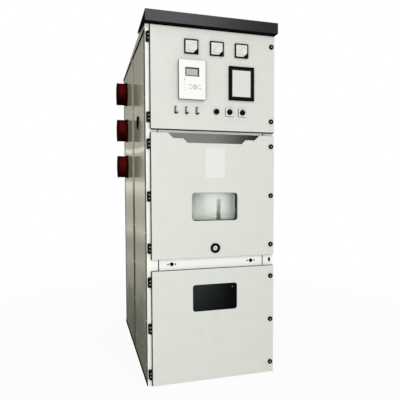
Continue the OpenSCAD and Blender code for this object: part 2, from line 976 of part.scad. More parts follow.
// Dark band under the middle door's top edge, stepped in at both ends
module door_band() {
    slope = band_step;
    half = band_width / 2;
    step = band_height - band_step;
    inner = half - slope - 2 * band_step;
    color(charcoal)
        facing_front(door_face_y - band_t, band_t)
            translate([door_mid, breaker_z1])
                polygon([
                    [-half, 0], [half, 0], [half - slope, -band_step], [inner, -band_step],
                    [inner - step, -band_height], [step - inner, -band_height],
                    [-inner, -band_step], [slope - half, -band_step]
                ]);
}

module socket_ring() {
    color(black) difference() {
        pin_along_y(door_mid, door_face_y - socket_proud, socket_z, socket_r, socket_proud);
        pin_along_y(
            door_mid, door_face_y - socket_proud - skim, socket_z,
            socket_bore_r + cut_clearance, socket_proud + 2 * skim
        );
    }
}

// Shutter of the crank socket, seated in the door's sheet behind the ring
module socket_core() {
    color(silver) {
        pin_along_y(
            door_mid, door_face_y - socket_proud / 2, socket_z,
            socket_bore_r, socket_proud / 2 + sheet
        );
        pin_along_y(door_mid, skin_y, socket_z, socket_r, sheet);
    }
}

left_front_post();
right_front_post();
rear_posts();
left_front_side();
left_rear_side();
right_front_side();
right_rear_side();
floor_plate();
bottom_rail();
interlock_panel();
upper_rail();
top_rail();
roof();
roof_edges();
relief_covers();
hood();
rear_upper_cover();
rear_lower_cover();
middle_partition();
instrument_shelf();
instrument_back();
breaker_shelf();
truck_front();
top_sleeve();
middle_sleeve();
bottom_sleeve();
hinge_posts();
instrument_door();
instrument_hinge_leaves();
instrument_locks();
meters();
relay();
indicator_frame();
indicator_pane();
test_links();
push_button();
switch_plates();
left_knob();
right_knob();
breaker_door();
breaker_hinge_leaves();
breaker_locks();
breaker_window();
breaker_window_frame();
door_band();
socket_ring();
socket_core();
cable_door();
cable_hinge_leaves();
cable_locks();
cable_window();
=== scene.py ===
import math

import bmesh
import bpy
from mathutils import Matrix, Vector


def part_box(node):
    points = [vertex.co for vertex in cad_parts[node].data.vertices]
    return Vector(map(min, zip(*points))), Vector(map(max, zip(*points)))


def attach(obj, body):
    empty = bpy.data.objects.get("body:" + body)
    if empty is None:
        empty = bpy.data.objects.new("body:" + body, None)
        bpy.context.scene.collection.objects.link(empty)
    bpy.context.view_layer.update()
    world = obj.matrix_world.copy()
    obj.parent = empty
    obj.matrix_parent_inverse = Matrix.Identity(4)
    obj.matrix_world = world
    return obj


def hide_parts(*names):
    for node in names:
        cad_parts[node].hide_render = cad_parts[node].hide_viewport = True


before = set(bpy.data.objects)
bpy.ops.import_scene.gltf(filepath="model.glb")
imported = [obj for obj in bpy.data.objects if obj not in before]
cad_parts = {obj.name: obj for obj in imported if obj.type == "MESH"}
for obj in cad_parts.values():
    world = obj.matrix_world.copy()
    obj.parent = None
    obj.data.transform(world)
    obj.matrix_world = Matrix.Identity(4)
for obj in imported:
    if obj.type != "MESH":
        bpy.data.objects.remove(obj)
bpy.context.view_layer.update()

MM = 0.001
FRONT = Vector((0, -1, 0))
BACK = Vector((0, 1, 0))
LEFT = Vector((-1, 0, 0))
RIGHT = Vector((1, 0, 0))
UP = Vector((0, 0, 1))


def srgb(red, green, blue):
    """A colour as seen on a screen, 0 to 255, as Blender's linear colour."""
    def linear(level):
        share = level / 255
        return share / 12.92 if share <= 0.04045 else ((share + 0.055) / 1.055) ** 2.4
    return (linear(red), linear(green), linear(blue), 1.0)


# Colours that a finish blends, or that several finishes share
BLACK = srgb(9, 9, 9)
CHARCOAL = srgb(20, 21, 21)
ZINC = srgb(180, 179, 155)
# Grime with painted shade at the foot of the zinc-coated sheet
DIRT_AND_SHADE = srgb(124, 127, 112)
MAROON = srgb(95, 20, 16)
MAROON_DARK = srgb(30, 5, 4)
# Painted light and painted shade of the truck's groove
GROOVE_LIT = srgb(178, 180, 174)
GROOVE_SHADED = srgb(120, 128, 119)
BAND_LIGHT = srgb(122, 124, 120)
BAND_DARK = srgb(34, 38, 36)
# Painted reflection on the smoked pane
PANE_REFLECTION = srgb(60, 66, 62)
PANE_DARK = srgb(3, 6, 5)
# Painted highlight and painted shade of the seam strips
FOLD_HIGHLIGHT = srgb(192, 187, 172)
FOLD_SHADE = srgb(84, 85, 73)

# Tints of the shared effects, as linear colours
PLAIN = (1.0, 1.0, 1.0, 1.0)
WARM_TINT = (1.0, 0.997, 0.965, 1.0)
TARNISH = (0.55, 0.52, 0.46, 1.0)
DUST = (0.42, 0.41, 0.38, 1.0)
SPECK = (0.8, 0.8, 0.72, 1.0)
ZINC_GLINT = (0.8, 0.79, 0.69, 1.0)


# Node tree helpers

def place(tree, kind, inputs=None, **settings):
    """A node with its settings, and its inputs set to values or linked to other nodes' outputs."""
    node = tree.nodes.new("ShaderNode" + kind)
    for name, value in settings.items():
        setattr(node, name, value)
    for key, value in (inputs or {}).items():
        if isinstance(value, bpy.types.NodeSocket):
            tree.links.new(value, node.inputs[key])
        else:
            node.inputs[key].default_value = value
    return node


def maths(tree, operation, first, *others):
    """One operation on two or more values, worked from left to right."""
    for other in others:
        first = place(tree, "Math", {0: first, 1: other}, operation=operation).outputs[0]
    return first


def spread(tree, value, low, high, start=0.0, end=1.0):
    """A value that runs smoothly from start to end while another runs from low to high."""
    inputs = {"Value": value, "From Min": low, "From Max": high, "To Min": start, "To Max": end}
    return place(tree, "MapRange", inputs, interpolation_type="SMOOTHSTEP").outputs[0]


def mixed(tree, share, first, second, kind="MIX"):
    inputs = {0: share, 6: first, 7: second}
    return place(tree, "Mix", inputs, data_type="RGBA", blend_type=kind).outputs[2]


def own_position(tree):
    return place(tree, "TexCoord").outputs["Object"]


def axes_of(tree, kind="Object"):
    """X, Y and Z of a spot on a piece, or of the way that its face looks for the kind Normal."""
    return place(tree, "SeparateXYZ", {0: place(tree, "TexCoord").outputs[kind]}).outputs


def noise(tree, scale, detail=2.0):
    """Cloudy noise over a piece. A scale for each axis draws it out into streaks."""
    position = own_position(tree)
    if isinstance(scale, tuple):
        position = place(tree, "VectorMath", {0: position, 1: scale}, operation="MULTIPLY").outputs[0]
        scale = 1.0
    return place(tree, "TexNoise", {"Vector": position, "Scale": scale, "Detail": detail}).outputs[0]


def new_group(name, inputs):
    """An empty shader node group and its inputs: a tuple is a colour, a number is a value."""
    tree = bpy.data.node_groups.new(name, "ShaderNodeTree")
    for socket, default in inputs.items():
        kind = "NodeSocketColor" if isinstance(default, tuple) else "NodeSocketFloat"
        tree.interface.new_socket(socket, in_out="INPUT", socket_type=kind).default_value = default
    return tree, tree.nodes.new("NodeGroupInput").outputs


def close_group(tree, **results):
    """Gives a group an output for each of its results."""
    for name in results:
        kind = "NodeSocketColor" if name == "Colour" else "NodeSocketFloat"
        tree.interface.new_socket(name, in_out="OUTPUT", socket_type=kind)
    wanted = tree.nodes.new("NodeGroupOutput").inputs
    for name, result in results.items():
        tree.links.new(result, wanted[name])
    return tree


# Effects that several finishes share

# Painted reflection bands: heights in metres at which the zinc-coated sheet changes, and the share of it that
# is bright there
ZINC_REFLECTION_BANDS = (
    (0.0, 0.22), (0.50, 0.24), (0.60, 0.28), (0.655, 0.36), (0.70, 0.33), (0.76, 0.26), (0.80, 0.28),
    (0.885, 0.60), (0.95, 0.45), (1.05, 0.43), (1.12, 0.54), (1.19, 0.88), (1.225, 0.90), (1.24, 0.46),
    (1.430, 0.46), (1.445, 1.0), (1.461, 1.0), (1.476, 0.46), (1.75, 0.42), (1.88, 0.33), (1.93, 0.27),
    (2.2, 0.24),
)
# Share of bright metal on sheet that has no painted reflection bands
PLAIN_SHARE = 0.4
# The painted reflection bands are level at this height, and spread apart towards the front
BAND_LEVEL = 1.2
BAND_FAN = 0.2
# Bump height per square metre from the seam by which the front sheets are dished
SHEET_DISH = 90.0
SEAM_FRONT = -34 * MM


def bright_bands(tree, height):
    """The share of bright metal at a height of the sheet, which paints reflection bands on it."""
    top = ZINC_REFLECTION_BANDS[-1][0]
    ramp_node = place(tree, "ValToRGB", {0: maths(tree, "DIVIDE", height, top)})
    stops = ramp_node.color_ramp.elements
    for level, share in ZINC_REFLECTION_BANDS:
        ends = {0.0: stops[0], top: stops[-1]}
        stop = ends[level] if level in ends else stops.new(level / top)
        stop.color = (share, share, share, 1.0)
    return ramp_node.outputs[0]


def powder_coat_group():
    """Baked paint: broad warm patches, fine orange peel, and gloss that varies a little."""
    tree, given = new_group("powder_coat", {"Paint": PLAIN, "Patches": 0.5, "Gloss": 0.4})
    patch = maths(tree, "MULTIPLY", spread(tree, noise(tree, 3.1), 0.42, 0.66), given["Patches"])
    patched = mixed(tree, patch, given["Paint"], WARM_TINT, "MULTIPLY")
    tone = spread(tree, noise(tree, 11.0, 4.0), 0.3, 0.7, 0.975, 1.0)
    uneven = spread(tree, noise(tree, 23.0, 3.0), 0.3, 0.7, -0.05, 0.07)
    return close_group(
        tree,
        Colour=mixed(tree, 1.0, patched, tone, "MULTIPLY"),
        Roughness=maths(tree, "ADD", uneven, given["Gloss"]),
        Height=noise(tree, 620.0),
    )


def zinc_group():
    """Zinc-coated sheet: spangle, rolling streaks, painted reflection bands, and grime with painted shade at
    its foot, with specks in it.
    """
    tree, given = new_group("zinc_coat", {
        "Zinc": PLAIN, "Dirt and shade": PLAIN, "Dirt and shade top": 1.5, "Dirt and shade foot": 0.0, "Reflection bands": 1.0, "Gloss": 0.2,
    })
    axes = axes_of(tree)
    ripple = spread(tree, noise(tree, (1.5, 1.5, 4.0)), 0.3, 0.7, -0.005, 0.005)
    # Painted reflection bands: the share of bright metal, which tints and brightens the sheet, changes with
    # height
    above = maths(tree, "SUBTRACT", axes["Z"], BAND_LEVEL)
    fanned = maths(tree, "SUBTRACT", axes["Z"], maths(tree, "MULTIPLY", axes["Y"], BAND_FAN, above))
    reflection_banded = bright_bands(tree, maths(tree, "ADD", fanned, ripple))
    contrast = maths(tree, "MULTIPLY", maths(tree, "SUBTRACT", reflection_banded, PLAIN_SHARE), given["Reflection bands"])
    bright = maths(tree, "ADD", contrast, PLAIN_SHARE)

    cells = place(tree, "TexVoronoi", {"Vector": own_position(tree), "Scale": 62.0}).outputs
    spangle = spread(tree, cells["Color"], 0.0, 1.0, 0.95, 1.03)
    streak = spread(tree, noise(tree, (70.0, 70.0, 1.6), 3.0), 0.3, 0.7, 0.93, 1.05)
    lustre = maths(tree, "ADD", maths(tree, "MULTIPLY", bright, 0.6), 0.5)
    clean = mixed(tree, 1.0, given["Zinc"], maths(tree, "MULTIPLY", spangle, streak, lustre), "MULTIPLY")

    cloud = spread(tree, noise(tree, (3.0, 3.0, 7.0), 4.0), 0.3, 0.7, -0.08, 0.08)
    clouded = maths(tree, "ADD", fanned, cloud)
    # Grime with painted shade: darker, duller and less metallic towards the foot of the sheet
    dirt_and_shade = spread(tree, clouded, given["Dirt and shade top"], given["Dirt and shade foot"], 0.0, 0.94)
    soiled_and_shaded = mixed(tree, dirt_and_shade, clean, given["Dirt and shade"])
    on_sheet = place(tree, "CombineXYZ", {0: maths(tree, "MULTIPLY", axes["Y"], 0.5), 1: axes["Z"]})
    dot_inputs = {"Vector": on_sheet.outputs[0], "Scale": 15.0}
    dots = place(tree, "TexVoronoi", dot_inputs, voronoi_dimensions="2D").outputs
    chosen = maths(tree, "GREATER_THAN", dots["Color"], 0.72)
    small = maths(tree, "LESS_THAN", dots["Distance"], 0.09)
    speck = maths(tree, "MULTIPLY", chosen, small, dirt_and_shade, 0.8)

    smear = spread(tree, noise(tree, 9.0, 4.0), 0.35, 0.7, 0.0, 0.05)
    dull = maths(tree, "MULTIPLY", dirt_and_shade, 0.5)
    clear = maths(tree, "SUBTRACT", 1.0, dirt_and_shade)
    ahead = maths(tree, "MINIMUM", maths(tree, "SUBTRACT", axes["Y"], SEAM_FRONT), 0.0)
    dish = maths(tree, "MULTIPLY", ahead, ahead, SHEET_DISH)
    return close_group(
        tree,
        Colour=mixed(tree, speck, soiled_and_shaded, SPECK),
        Roughness=maths(tree, "ADD", given["Gloss"], smear, dull),
        Metallic=maths(tree, "MULTIPLY", bright, clear),
        Height=maths(tree, "ADD", noise(tree, (4.0, 4.0, 9.0), 1.0), dish),
    )


def filmed_group(name, film_scale, film_low, tint, kind, dulling, grain):
    """A fine grain under a patchy film, which tints the surface and dulls it."""
    tree, given = new_group(name, {"Base": PLAIN, "Film": 0.1, "Gloss": 0.4})
    film = spread(tree, noise(tree, film_scale, 4.0), film_low, 0.75)
    share = maths(tree, "MULTIPLY", film, given["Film"])
    return close_group(
        tree,
        Colour=mixed(tree, share, given["Base"], tint, kind),
        Roughness=maths(tree, "ADD", given["Gloss"], maths(tree, "MULTIPLY", film, dulling)),
        Height=noise(tree, grain),
    )


POWDER_COAT = powder_coat_group()
ZINC_COAT = zinc_group()
MOULDED = filmed_group("moulded", 34.0, 0.45, DUST, "MIX", 0.12, 1500.0)
TURNED = filmed_group("turned_metal", 80.0, 0.4, TARNISH, "MULTIPLY", 0.15, 900.0)


# Finishes

FINISH = {}


def finish(name, group, values, bump, bump_depth, **constants):
    """A material: a shared effect that feeds the shader, and plain values set on the shader itself."""
    material = FINISH[name] = bpy.data.materials.new(name)
    material.use_nodes = True
    tree = material.node_tree
    shader = tree.nodes["Principled BSDF"]
    for key, value in constants.items():
        shader.inputs[key.replace("_", " ")].default_value = value
    effect = place(tree, "Group", values, node_tree=group).outputs
    targets = {"Colour": "Base Color", "Roughness": "Roughness", "Metallic": "Metallic"}
    for output, target in targets.items():
        if output in effect:
            tree.links.new(effect[output], shader.inputs[target])
    raised = place(tree, "Bump", {"Strength": bump, "Distance": bump_depth, "Height": effect["Height"]})
    tree.links.new(raised.outputs[0], shader.inputs["Normal"])
    return tree


def feed(tree, value, target="Base Color"):
    """Links a material's own value to its shader, in place of what the shared effect gave."""
    tree.links.new(value, tree.nodes["Principled BSDF"].inputs[target])


def painted(name, colour, patches, gloss, **constants):
    values = {"Paint": colour, "Patches": patches, "Gloss": gloss}
    return finish(name, POWDER_COAT, values, 0.18, 0.2 * MM, **constants)


def moulded(name, colour, dust, gloss, specular=0.5, **constants):
    values = {"Base": colour, "Film": dust, "Gloss": gloss}
    return finish(name, MOULDED, values, 0.25, 0.12 * MM, Specular_IOR_Level=specular, **constants)


def zinc_coated(name, dirt_and_shade_top, dirt_and_shade_foot, reflection_bands, gloss):
    values = {
        "Zinc": ZINC, "Dirt and shade": DIRT_AND_SHADE, "Dirt and shade top": dirt_and_shade_top, "Dirt and shade foot": dirt_and_shade_foot,
        "Reflection bands": reflection_bands, "Gloss": gloss,
    }
    return finish(name, ZINC_COAT, values, 0.1, 2 * MM, Specular_Tint=ZINC_GLINT, Specular_IOR_Level=0.0)


def shaded_along(name, axis, start, end, first, second, specular):
    """A moulded finish whose colour runs from the first to the second along one axis of the cubicle."""
    tree = moulded(name, first, 0.0, 0.5, specular)
    feed(tree, mixed(tree, spread(tree, axes_of(tree)[axis], start, end), first, second))


def band_film():
    """Dark film along the breaker door's top edge, which runs from mid grey to near black."""
    low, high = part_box("door_band")
    start = low.x + 0.4 * (high.x - low.x)
    shaded_along("band_film", "X", start, high.x, BAND_LIGHT, BAND_DARK, 0.1)


def seam_paint():
    """Zinc of the upright seams with painted light: a painted highlight beside the sleeves and painted shade
    below them.
    """
    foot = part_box("bottom_sleeve")[0].z
    shaded_along("seam_fold_painted_light", "Z", foot - 200 * MM, foot + 60 * MM, FOLD_SHADE, FOLD_HIGHLIGHT, 0.0)


def groove_paint():
    """Grey paint in the truck's groove with painted light: lighter towards its top and in painted shade
    towards its foot.
    """
    low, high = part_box("breaker_window")
    shaded_along("groove_paint", "Z", low.z, high.z, GROOVE_SHADED, GROOVE_LIT, 0.0)


def smoked_pane():
    """Smoked pane with a faint painted reflection towards its upper left corner."""
    low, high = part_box("cable_window")
    tree = moulded("smoked_pane", PANE_DARK, 0.0, 0.05, 0.02)
    axes = axes_of(tree)
    across = spread(tree, axes["X"], low.x, high.x, 0.65, 0.0)
    rise = spread(tree, axes["Z"], low.z, high.z, 0.0, 0.5)
    painted_reflection = maths(tree, "MULTIPLY", across, maths(tree, "ADD", rise, 0.35))
    feed(tree, mixed(tree, painted_reflection, PANE_DARK, PANE_REFLECTION))


def hood_paint():
    """Charcoal paint with a gloss coat on the hood's front and none on its cheeks, top and underside."""
    tree = painted(
        "charcoal_powder_coat", CHARCOAL, 0.2, 0.5, Specular_IOR_Level=0.0, Coat_Roughness=0.27, Coat_IOR=1.3
    )
    feed(tree, spread(tree, axes_of(tree, "Normal")["Y"], -0.6, -0.95), "Coat Weight")


# Where the resin's shade starts and ends, from a sleeve's mouth and from the wall
MOUTH_FADE = (-2 * MM, 22 * MM)
FLANGE_FADE = (9 * MM, 26 * MM)


def sleeve_resin():
    """Maroon resin in painted shade towards the top and the underside of each sleeve, and darker towards its
    mouth and its flange.
    """
    mouth_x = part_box("top_sleeve")[0].x
    wall_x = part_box("left_rear_side")[0].x
    tree = moulded("maroon_cast_resin", MAROON, 0.0, 0.35, 0.0)
    normal = axes_of(tree, "Normal")
    along = axes_of(tree)["X"]
    mouth = spread(tree, along, mouth_x + MOUTH_FADE[0], mouth_x + MOUTH_FADE[1], 0.15, 1.0)
    rim = spread(tree, normal["X"], -0.5, -0.9)
    flange = spread(tree, along, wall_x - FLANGE_FADE[0], wall_x - FLANGE_FADE[1], 0.1, 1.0)
    # Painted shade where the sleeve's face turns up or down, as light falls on a cylinder
    crown = spread(tree, normal["Z"], 1.0, 0.8, 0.15, 1.0)
    underside = spread(tree, normal["Z"], -0.75, 0.3)
    light = maths(tree, "MULTIPLY", underside, crown, maths(tree, "MAXIMUM", mouth, rim), flange)
    feed(tree, mixed(tree, light, MAROON_DARK, MAROON))


# Paint: its colour, the strength of its patches and its roughness
painted("white_powder_coat", srgb(252, 252, 249), 0.2, 0.42)
painted("door_grey_powder_coat", srgb(219, 222, 214), 0.5, 0.45, Specular_IOR_Level=0.35)
painted("truck_pale_coat", srgb(222, 224, 216), 0.3, 0.18)
hood_paint()

# Zinc: the heights at which its grime and painted shade start and are full, the strength of its painted
# reflection bands and its roughness
zinc_coated("zinc_coated_wall", 0.62, 0.15, 1.0, 0.06)
zinc_coated("zinc_coated_cover", 0.62, 0.15, 0.35, 0.32)
zinc_coated("zinc_coated_roof", -2.0, -3.0, 0.0, 0.22)
zinc_coated("zinc_coated_inside", -2.0, -3.0, 0.0, 0.3)
seam_paint()

# Mouldings, prints and coats: colour, dust, roughness and specular level
moulded("hinge_black_coat", BLACK, 0.0, 0.4, 0.06)
# Black for real bushes, screws and grommets, and for dark strips that are painted shade
moulded("black_seal_and_shade", BLACK, 0.0, 0.8, 0.0)
moulded("black_moulding", BLACK, 0.0, 0.4, 0.03)
moulded("black_rubber_and_shade", srgb(40, 42, 40), 0.06, 0.7, 0.1)
moulded("relay_white_moulding", srgb(244, 244, 242), 0.0, 0.4, 0.2)
moulded("plate_film", srgb(228, 229, 224), 0.0, 0.35)
moulded("relay_case_moulding", srgb(66, 68, 65), 0.03, 0.5, 0.2)
moulded("dial_card", srgb(225, 226, 219), 0.0, 0.6)
moulded("indicator_panel", srgb(218, 219, 213), 0.0, 0.3)
moulded("display_screen", srgb(166, 178, 160), 0.03, 0.3)
moulded("display_edge", srgb(52, 60, 54), 0.0, 0.4, 0.2)
moulded("printed_black", srgb(30, 30, 30), 0.0, 0.6, 0.1)
moulded("printed_grey", srgb(150, 152, 148), 0.0, 0.6, 0.1)
moulded("grey_keys", srgb(196, 198, 196), 0.0, 0.5)
# Edge folds darker than the zinc, painted shade on the posts' sides
moulded("edge_fold_shaded_zinc", srgb(104, 106, 94), 0.05, 0.6, 0.0)
moulded("trim_grey", srgb(106, 109, 101), 0.1, 0.5, 0.2)
moulded("link_metal", srgb(112, 115, 107), 0.1, 0.5, 0.2)
moulded("clear_pane", srgb(250, 253, 251), 0.0, 0.0, Transmission_Weight=1.0, IOR=1.15)
smoked_pane()
sleeve_resin()
band_film()
groove_paint()

steel = {"Base": srgb(205, 205, 200), "Film": 0.25, "Gloss": 0.26}
finish("bright_steel", TURNED, steel, 0.1, 0.06 * MM, Metallic=1.0)

FINISH_OF_NODE = {
    "white_powder_coat": "left_front_post right_front_post bottom_rail interlock_panel upper_rail top_rail",
    "door_grey_powder_coat": "instrument_door breaker_door cable_door",
    "charcoal_powder_coat": "hood",
    "zinc_coated_wall": "left_front_side left_rear_side",
    "zinc_coated_cover": "right_front_side right_rear_side rear_posts rear_upper_cover rear_lower_cover",
    "zinc_coated_roof": "roof roof_edges relief_covers",
    "zinc_coated_inside": "floor_plate middle_partition instrument_shelf instrument_back breaker_shelf",
    "truck_pale_coat": "truck_front",
    "maroon_cast_resin": "top_sleeve middle_sleeve bottom_sleeve",
    "hinge_black_coat": "hinge_posts instrument_hinge_leaves breaker_hinge_leaves cable_hinge_leaves",
    "black_moulding": "instrument_locks breaker_locks cable_locks meters indicator_frame push_button "
                      "left_knob right_knob socket_ring breaker_window_frame",
    "relay_case_moulding": "relay switch_plates",
    "link_metal": "test_links",
    "indicator_panel": "indicator_pane",
    "clear_pane": "breaker_window",
    "smoked_pane": "cable_window",
    "band_film": "door_band",
    "bright_steel": "socket_core",
}
for finish_name, node_names in FINISH_OF_NODE.items():
    for node_name in node_names.split():
        for material_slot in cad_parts[node_name].material_slots:
            material_slot.material = FINISH[finish_name]


# Mesh helpers

def rounded_outline(width, height, corner, steps=6):
    """Points round a rectangle with round corners, as X and Z about its middle."""
    points = []
    for quarter, (side_x, side_z) in enumerate(((1, 1), (-1, 1), (-1, -1), (1, -1))):
        for step in range(steps + 1):
            turn = math.radians(90 * (quarter + step / steps))
            points.append((
                side_x * (width / 2 - corner) + corner * math.cos(turn),
                side_z * (height / 2 - corner) + corner * math.sin(turn),
            ))
    return points


def arc(centre_x, centre_z, radius, start, end, steps=6):
    """Points round part of a circle, between two angles in degrees."""
    turns = [math.radians(start + (end - start) * i / steps) for i in range(steps + 1)]
    return [(centre_x + radius * math.cos(turn), centre_z + radius * math.sin(turn)) for turn in turns]


def at_depth(outline, centre, depth):
    """An outline of X and Z points as places in the frame, at a depth along Y."""
    return [Vector((centre[0] + x, depth, centre[1] + z)) for x, z in outline]


def loft(bm, rings, closed=False):
    """Skins a row of rings that have as many points each: with caps at both ends, or closed on itself."""
    made = [[bm.verts.new(point) for point in points] for points in rings]
    pairs = list(zip(made, made[1:])) + ([(made[-1], made[0])] if closed else [])
    for first, second in pairs:
        for i in range(len(first)):
            j = (i + 1) % len(first)
            bm.faces.new((first[i], first[j], second[j], second[i]))
    if not closed:
        bm.faces.new(made[0])
        bm.faces.new(made[-1])
    return made


def plate(bm, centre, width, height, back, front, corner, edge):
    """A plate on a face of the cubicle's front, with round corners and an eased front edge."""
    outer = rounded_outline(width, height, corner)
    inner = rounded_outline(width - 2 * edge, height - 2 * edge, max(corner - edge, 0.1 * MM))
    rings = ((outer, back), (outer, front + edge), (inner, front))
    loft(bm, [at_depth(outline, centre, depth) for outline, depth in rings])


def surround(bm, centre, outer, inner, back, front, inner_centre=None, slope=0.0):
    """A frame: outer and inner are width, height and corner radius. A slope sets the inner edge back."""
    inner_centre = inner_centre or centre
    outer_ring = rounded_outline(*outer)
    inner_ring = rounded_outline(*inner)
    loft(bm, [
        at_depth(outer_ring, centre, back), at_depth(outer_ring, centre, front),
        at_depth(inner_ring, inner_centre, front + slope), at_depth(inner_ring, inner_centre, back),
    ], closed=True)


def scaled(profile, size):
    """A profile that is written in shares of a size, or in millimetres, as real lengths."""
    return [(radius * size, height * size) for radius, height in profile]


def turned(bm, profile, origin, axis, steps=24, closed=False):
    """A turned shape: radius and height along the axis from the origin, from one end to the other."""
    origin = Vector(origin)
    spin = UP.rotation_difference(axis).to_matrix()
    turns = [2 * math.pi * i / steps for i in range(steps)]
    loft(bm, [
        [origin + spin @ Vector((radius * math.cos(turn), radius * math.sin(turn), height)) for turn in turns]
        for radius, height in profile
    ], closed)


def ring(bm, inner, outer, thickness, origin, axis, steps=32):
    """A turned ring with eased edges, standing on the origin."""
    ease = min(0.3 * thickness, 0.25 * (outer - inner))
    profile = [
        (outer, 0), (outer, thickness - ease), (outer - ease, thickness), (inner + ease, thickness),
        (inner, thickness - ease), (inner, 0),
    ]
    turned(bm, profile, origin, axis, steps, closed=True)


def strip(bm, low, high, edge):
    """A bar between two corners, with its edges eased."""
    made = bmesh.ops.create_cube(bm, size=1.0)["verts"]
    for vertex in made:
        vertex.co = [(low[i] + high[i]) / 2 + vertex.co[i] * (high[i] - low[i]) for i in range(3)]
    edges = {line for vertex in made for line in vertex.link_edges}
    bmesh.ops.bevel(bm, geom=list(edges), offset=edge, segments=1, affect="EDGES")


def on_both_sides(bm, x_range, y_range, z_range, edge):
    """A bar on the right side of the cubicle, and its like on the left."""
    for side in (-1, 1):
        xs = sorted(side * x for x in x_range)
        strip(bm, *zip(xs, y_range, z_range), edge)


# Profiles of bolts, in shares of the width over their flats, and of screws, in shares of their radius
WASHER = ((0.95, 0), (0.95, 0.12), (0.01, 0.121))
BOLT_HEAD = ((0.577, 0.12), (0.577, 0.5), (0.84 * 0.577, 0.6), (0.01, 0.6))
SCREW_HEAD = ((1, 0), (0.96, 0.3), (0.7, 0.58), (0.36, 0.66), (0.2, 0.4), (0.02, 0.38))


def hexagon_bolt(bm, origin, axis, size):
    """A bolt head on its washer."""
    turned(bm, scaled(WASHER, size), origin, axis, 18)
    turned(bm, scaled(BOLT_HEAD, size), origin, axis, 6)


def pan_screw(bm, origin, axis, radius):
    """A domed screw head with a dished drive recess."""
    turned(bm, scaled(SCREW_HEAD, radius), origin, axis, 16)


def piece(draw, body, finish_name, slot, *details):
    """A piece of the scene that rides on a body, named after its details and the function that draws it."""
    name = "_".join((*details, draw.__name__))
    bm = bmesh.new()
    draw(bm, *details)
    bmesh.ops.recalc_face_normals(bm, faces=bm.faces)
    mesh = bpy.data.meshes.new(name)
    bm.to_mesh(mesh)
    bm.free()
    mesh.polygons.foreach_set("use_smooth", [True] * len(mesh.polygons))
    mesh.set_sharp_from_angle(angle=math.radians(32))
    mesh.materials.append(FINISH[finish_name])
    made = bpy.data.objects.new(name, mesh)
    bpy.context.scene.collection.objects.link(made)
    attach(made, body)
    return made


def pieces_on(body, *rows):
    """The pieces that ride on one body. A row is the function that draws a piece, its finish and its slot,
    which is not used.
    """
    for draw, finish_name, slot in rows:
        piece(draw, body, finish_name, slot)


def middle(node_name):
    low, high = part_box(node_name)
    return (low + high) / 2


def flat_middle(node_name):
    """The middle of a node as X and Z, for what is drawn on the cubicle's front or back."""
    return middle(node_name).x, middle(node_name).z


def front_middle(node_name):
    """The middle of a node's front."""
    return Vector((middle(node_name).x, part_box(node_name)[0].y, middle(node_name).z))


# Meters on the instrument door

METER_RIM = 6 * MM
DIAL_DEPTH = 3 * MM
DIAL_CORNER = 23 * MM
DIAL_EDGE = 1.2 * MM
CARD_T = 0.4 * MM
INK_PROUD = 0.5 * MM
INK_T = 0.2 * MM
PIVOT_INSET = 9 * MM
SCALE_R = 50 * MM
SCALE_STEPS = 20
SCALE_START = math.radians(176)
SCALE_END = math.radians(94)
# Length and width of the marks on a scale
LONG_MARK = (6 * MM, 0.9 * MM)
SHORT_MARK = (3.5 * MM, 0.5 * MM)
NEEDLE_TURN = math.radians(172)
NUMBERS = ("0", "25", "50", "75", "100")
NUMBER_SIZE = 6.5 * MM
NUMBER_INSET = 7 * MM
ZERO_SCREW = ((3.4, 0), (3.2, 0.8), (2.2, 1.1), (0.1, 0.9))
meter_low, meter_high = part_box("meters")
meter_side = meter_high.z - meter_low.z
meter_mid, meter_z = flat_middle("meters")
meter_xs = [meter_low.x + meter_side / 2, meter_mid, meter_high.x - meter_side / 2]
dial_half = meter_side / 2 - METER_RIM
dial_y = meter_low.y + DIAL_DEPTH
ink_y = dial_y - INK_PROUD


def scale_turn(step, steps):
    """The angle of a step of a meter's scale, counted from its left end."""
    return SCALE_START + (SCALE_END - SCALE_START) * step / steps


def scale_place(meter_x, turn, radius):
    """A place on a meter's scale, about its needle's pivot in the lower right corner."""
    return Vector((
        meter_x + dial_half - PIVOT_INSET + radius * math.cos(turn), 0,
        meter_z - dial_half + PIVOT_INSET + radius * math.sin(turn),
    ))


def flat_bar(bm, start, end, width, depth):
    """A printed line: a thin bar from start to end, with its face at a depth."""
    along = (end - start).normalized()
    across = Vector((-along.z, 0, along.x)) * width / 2
    corners = [start - across, end - across, end + across, start + across]
    loft(bm, [[Vector((corner.x, y, corner.z)) for corner in corners] for y in (depth + INK_T, depth)])


def meter_dials(bm):
    half = dial_half - DIAL_EDGE
    cut = half - DIAL_CORNER
    outline = [(-half, -half), (cut, -half), (half, -cut), (half, half), (-half, half)]
    for x in meter_xs:
        loft(bm, [at_depth(outline, (x, meter_z), depth) for depth in (dial_y, dial_y - CARD_T)])


def meter_scales(bm):
    for x in meter_xs:
        for i in range(SCALE_STEPS + 1):
            length, width = LONG_MARK if i % 5 == 0 else SHORT_MARK
            turn = scale_turn(i, SCALE_STEPS)
            start = scale_place(x, turn, SCALE_R)
            flat_bar(bm, start, scale_place(x, turn, SCALE_R + length), width, ink_y)
            if i < SCALE_STEPS:
                after = scale_place(x, scale_turn(i + 1, SCALE_STEPS), SCALE_R)
                flat_bar(bm, start, after, 0.6 * MM, ink_y)


def meter_needles(bm):
    for x in meter_xs:
        start = scale_place(x, NEEDLE_TURN, 6 * MM)
        end = scale_place(x, NEEDLE_TURN, SCALE_R + 2 * MM)
        flat_bar(bm, start, end, 1.1 * MM, dial_y - 1.2 * MM)


def meter_zero_screws(bm):
    inset = dial_half - 0.3 * DIAL_CORNER
    for x in meter_xs:
        turned(bm, scaled(ZERO_SCREW, MM), (x + inset, meter_low.y, meter_z - inset), FRONT, 16)


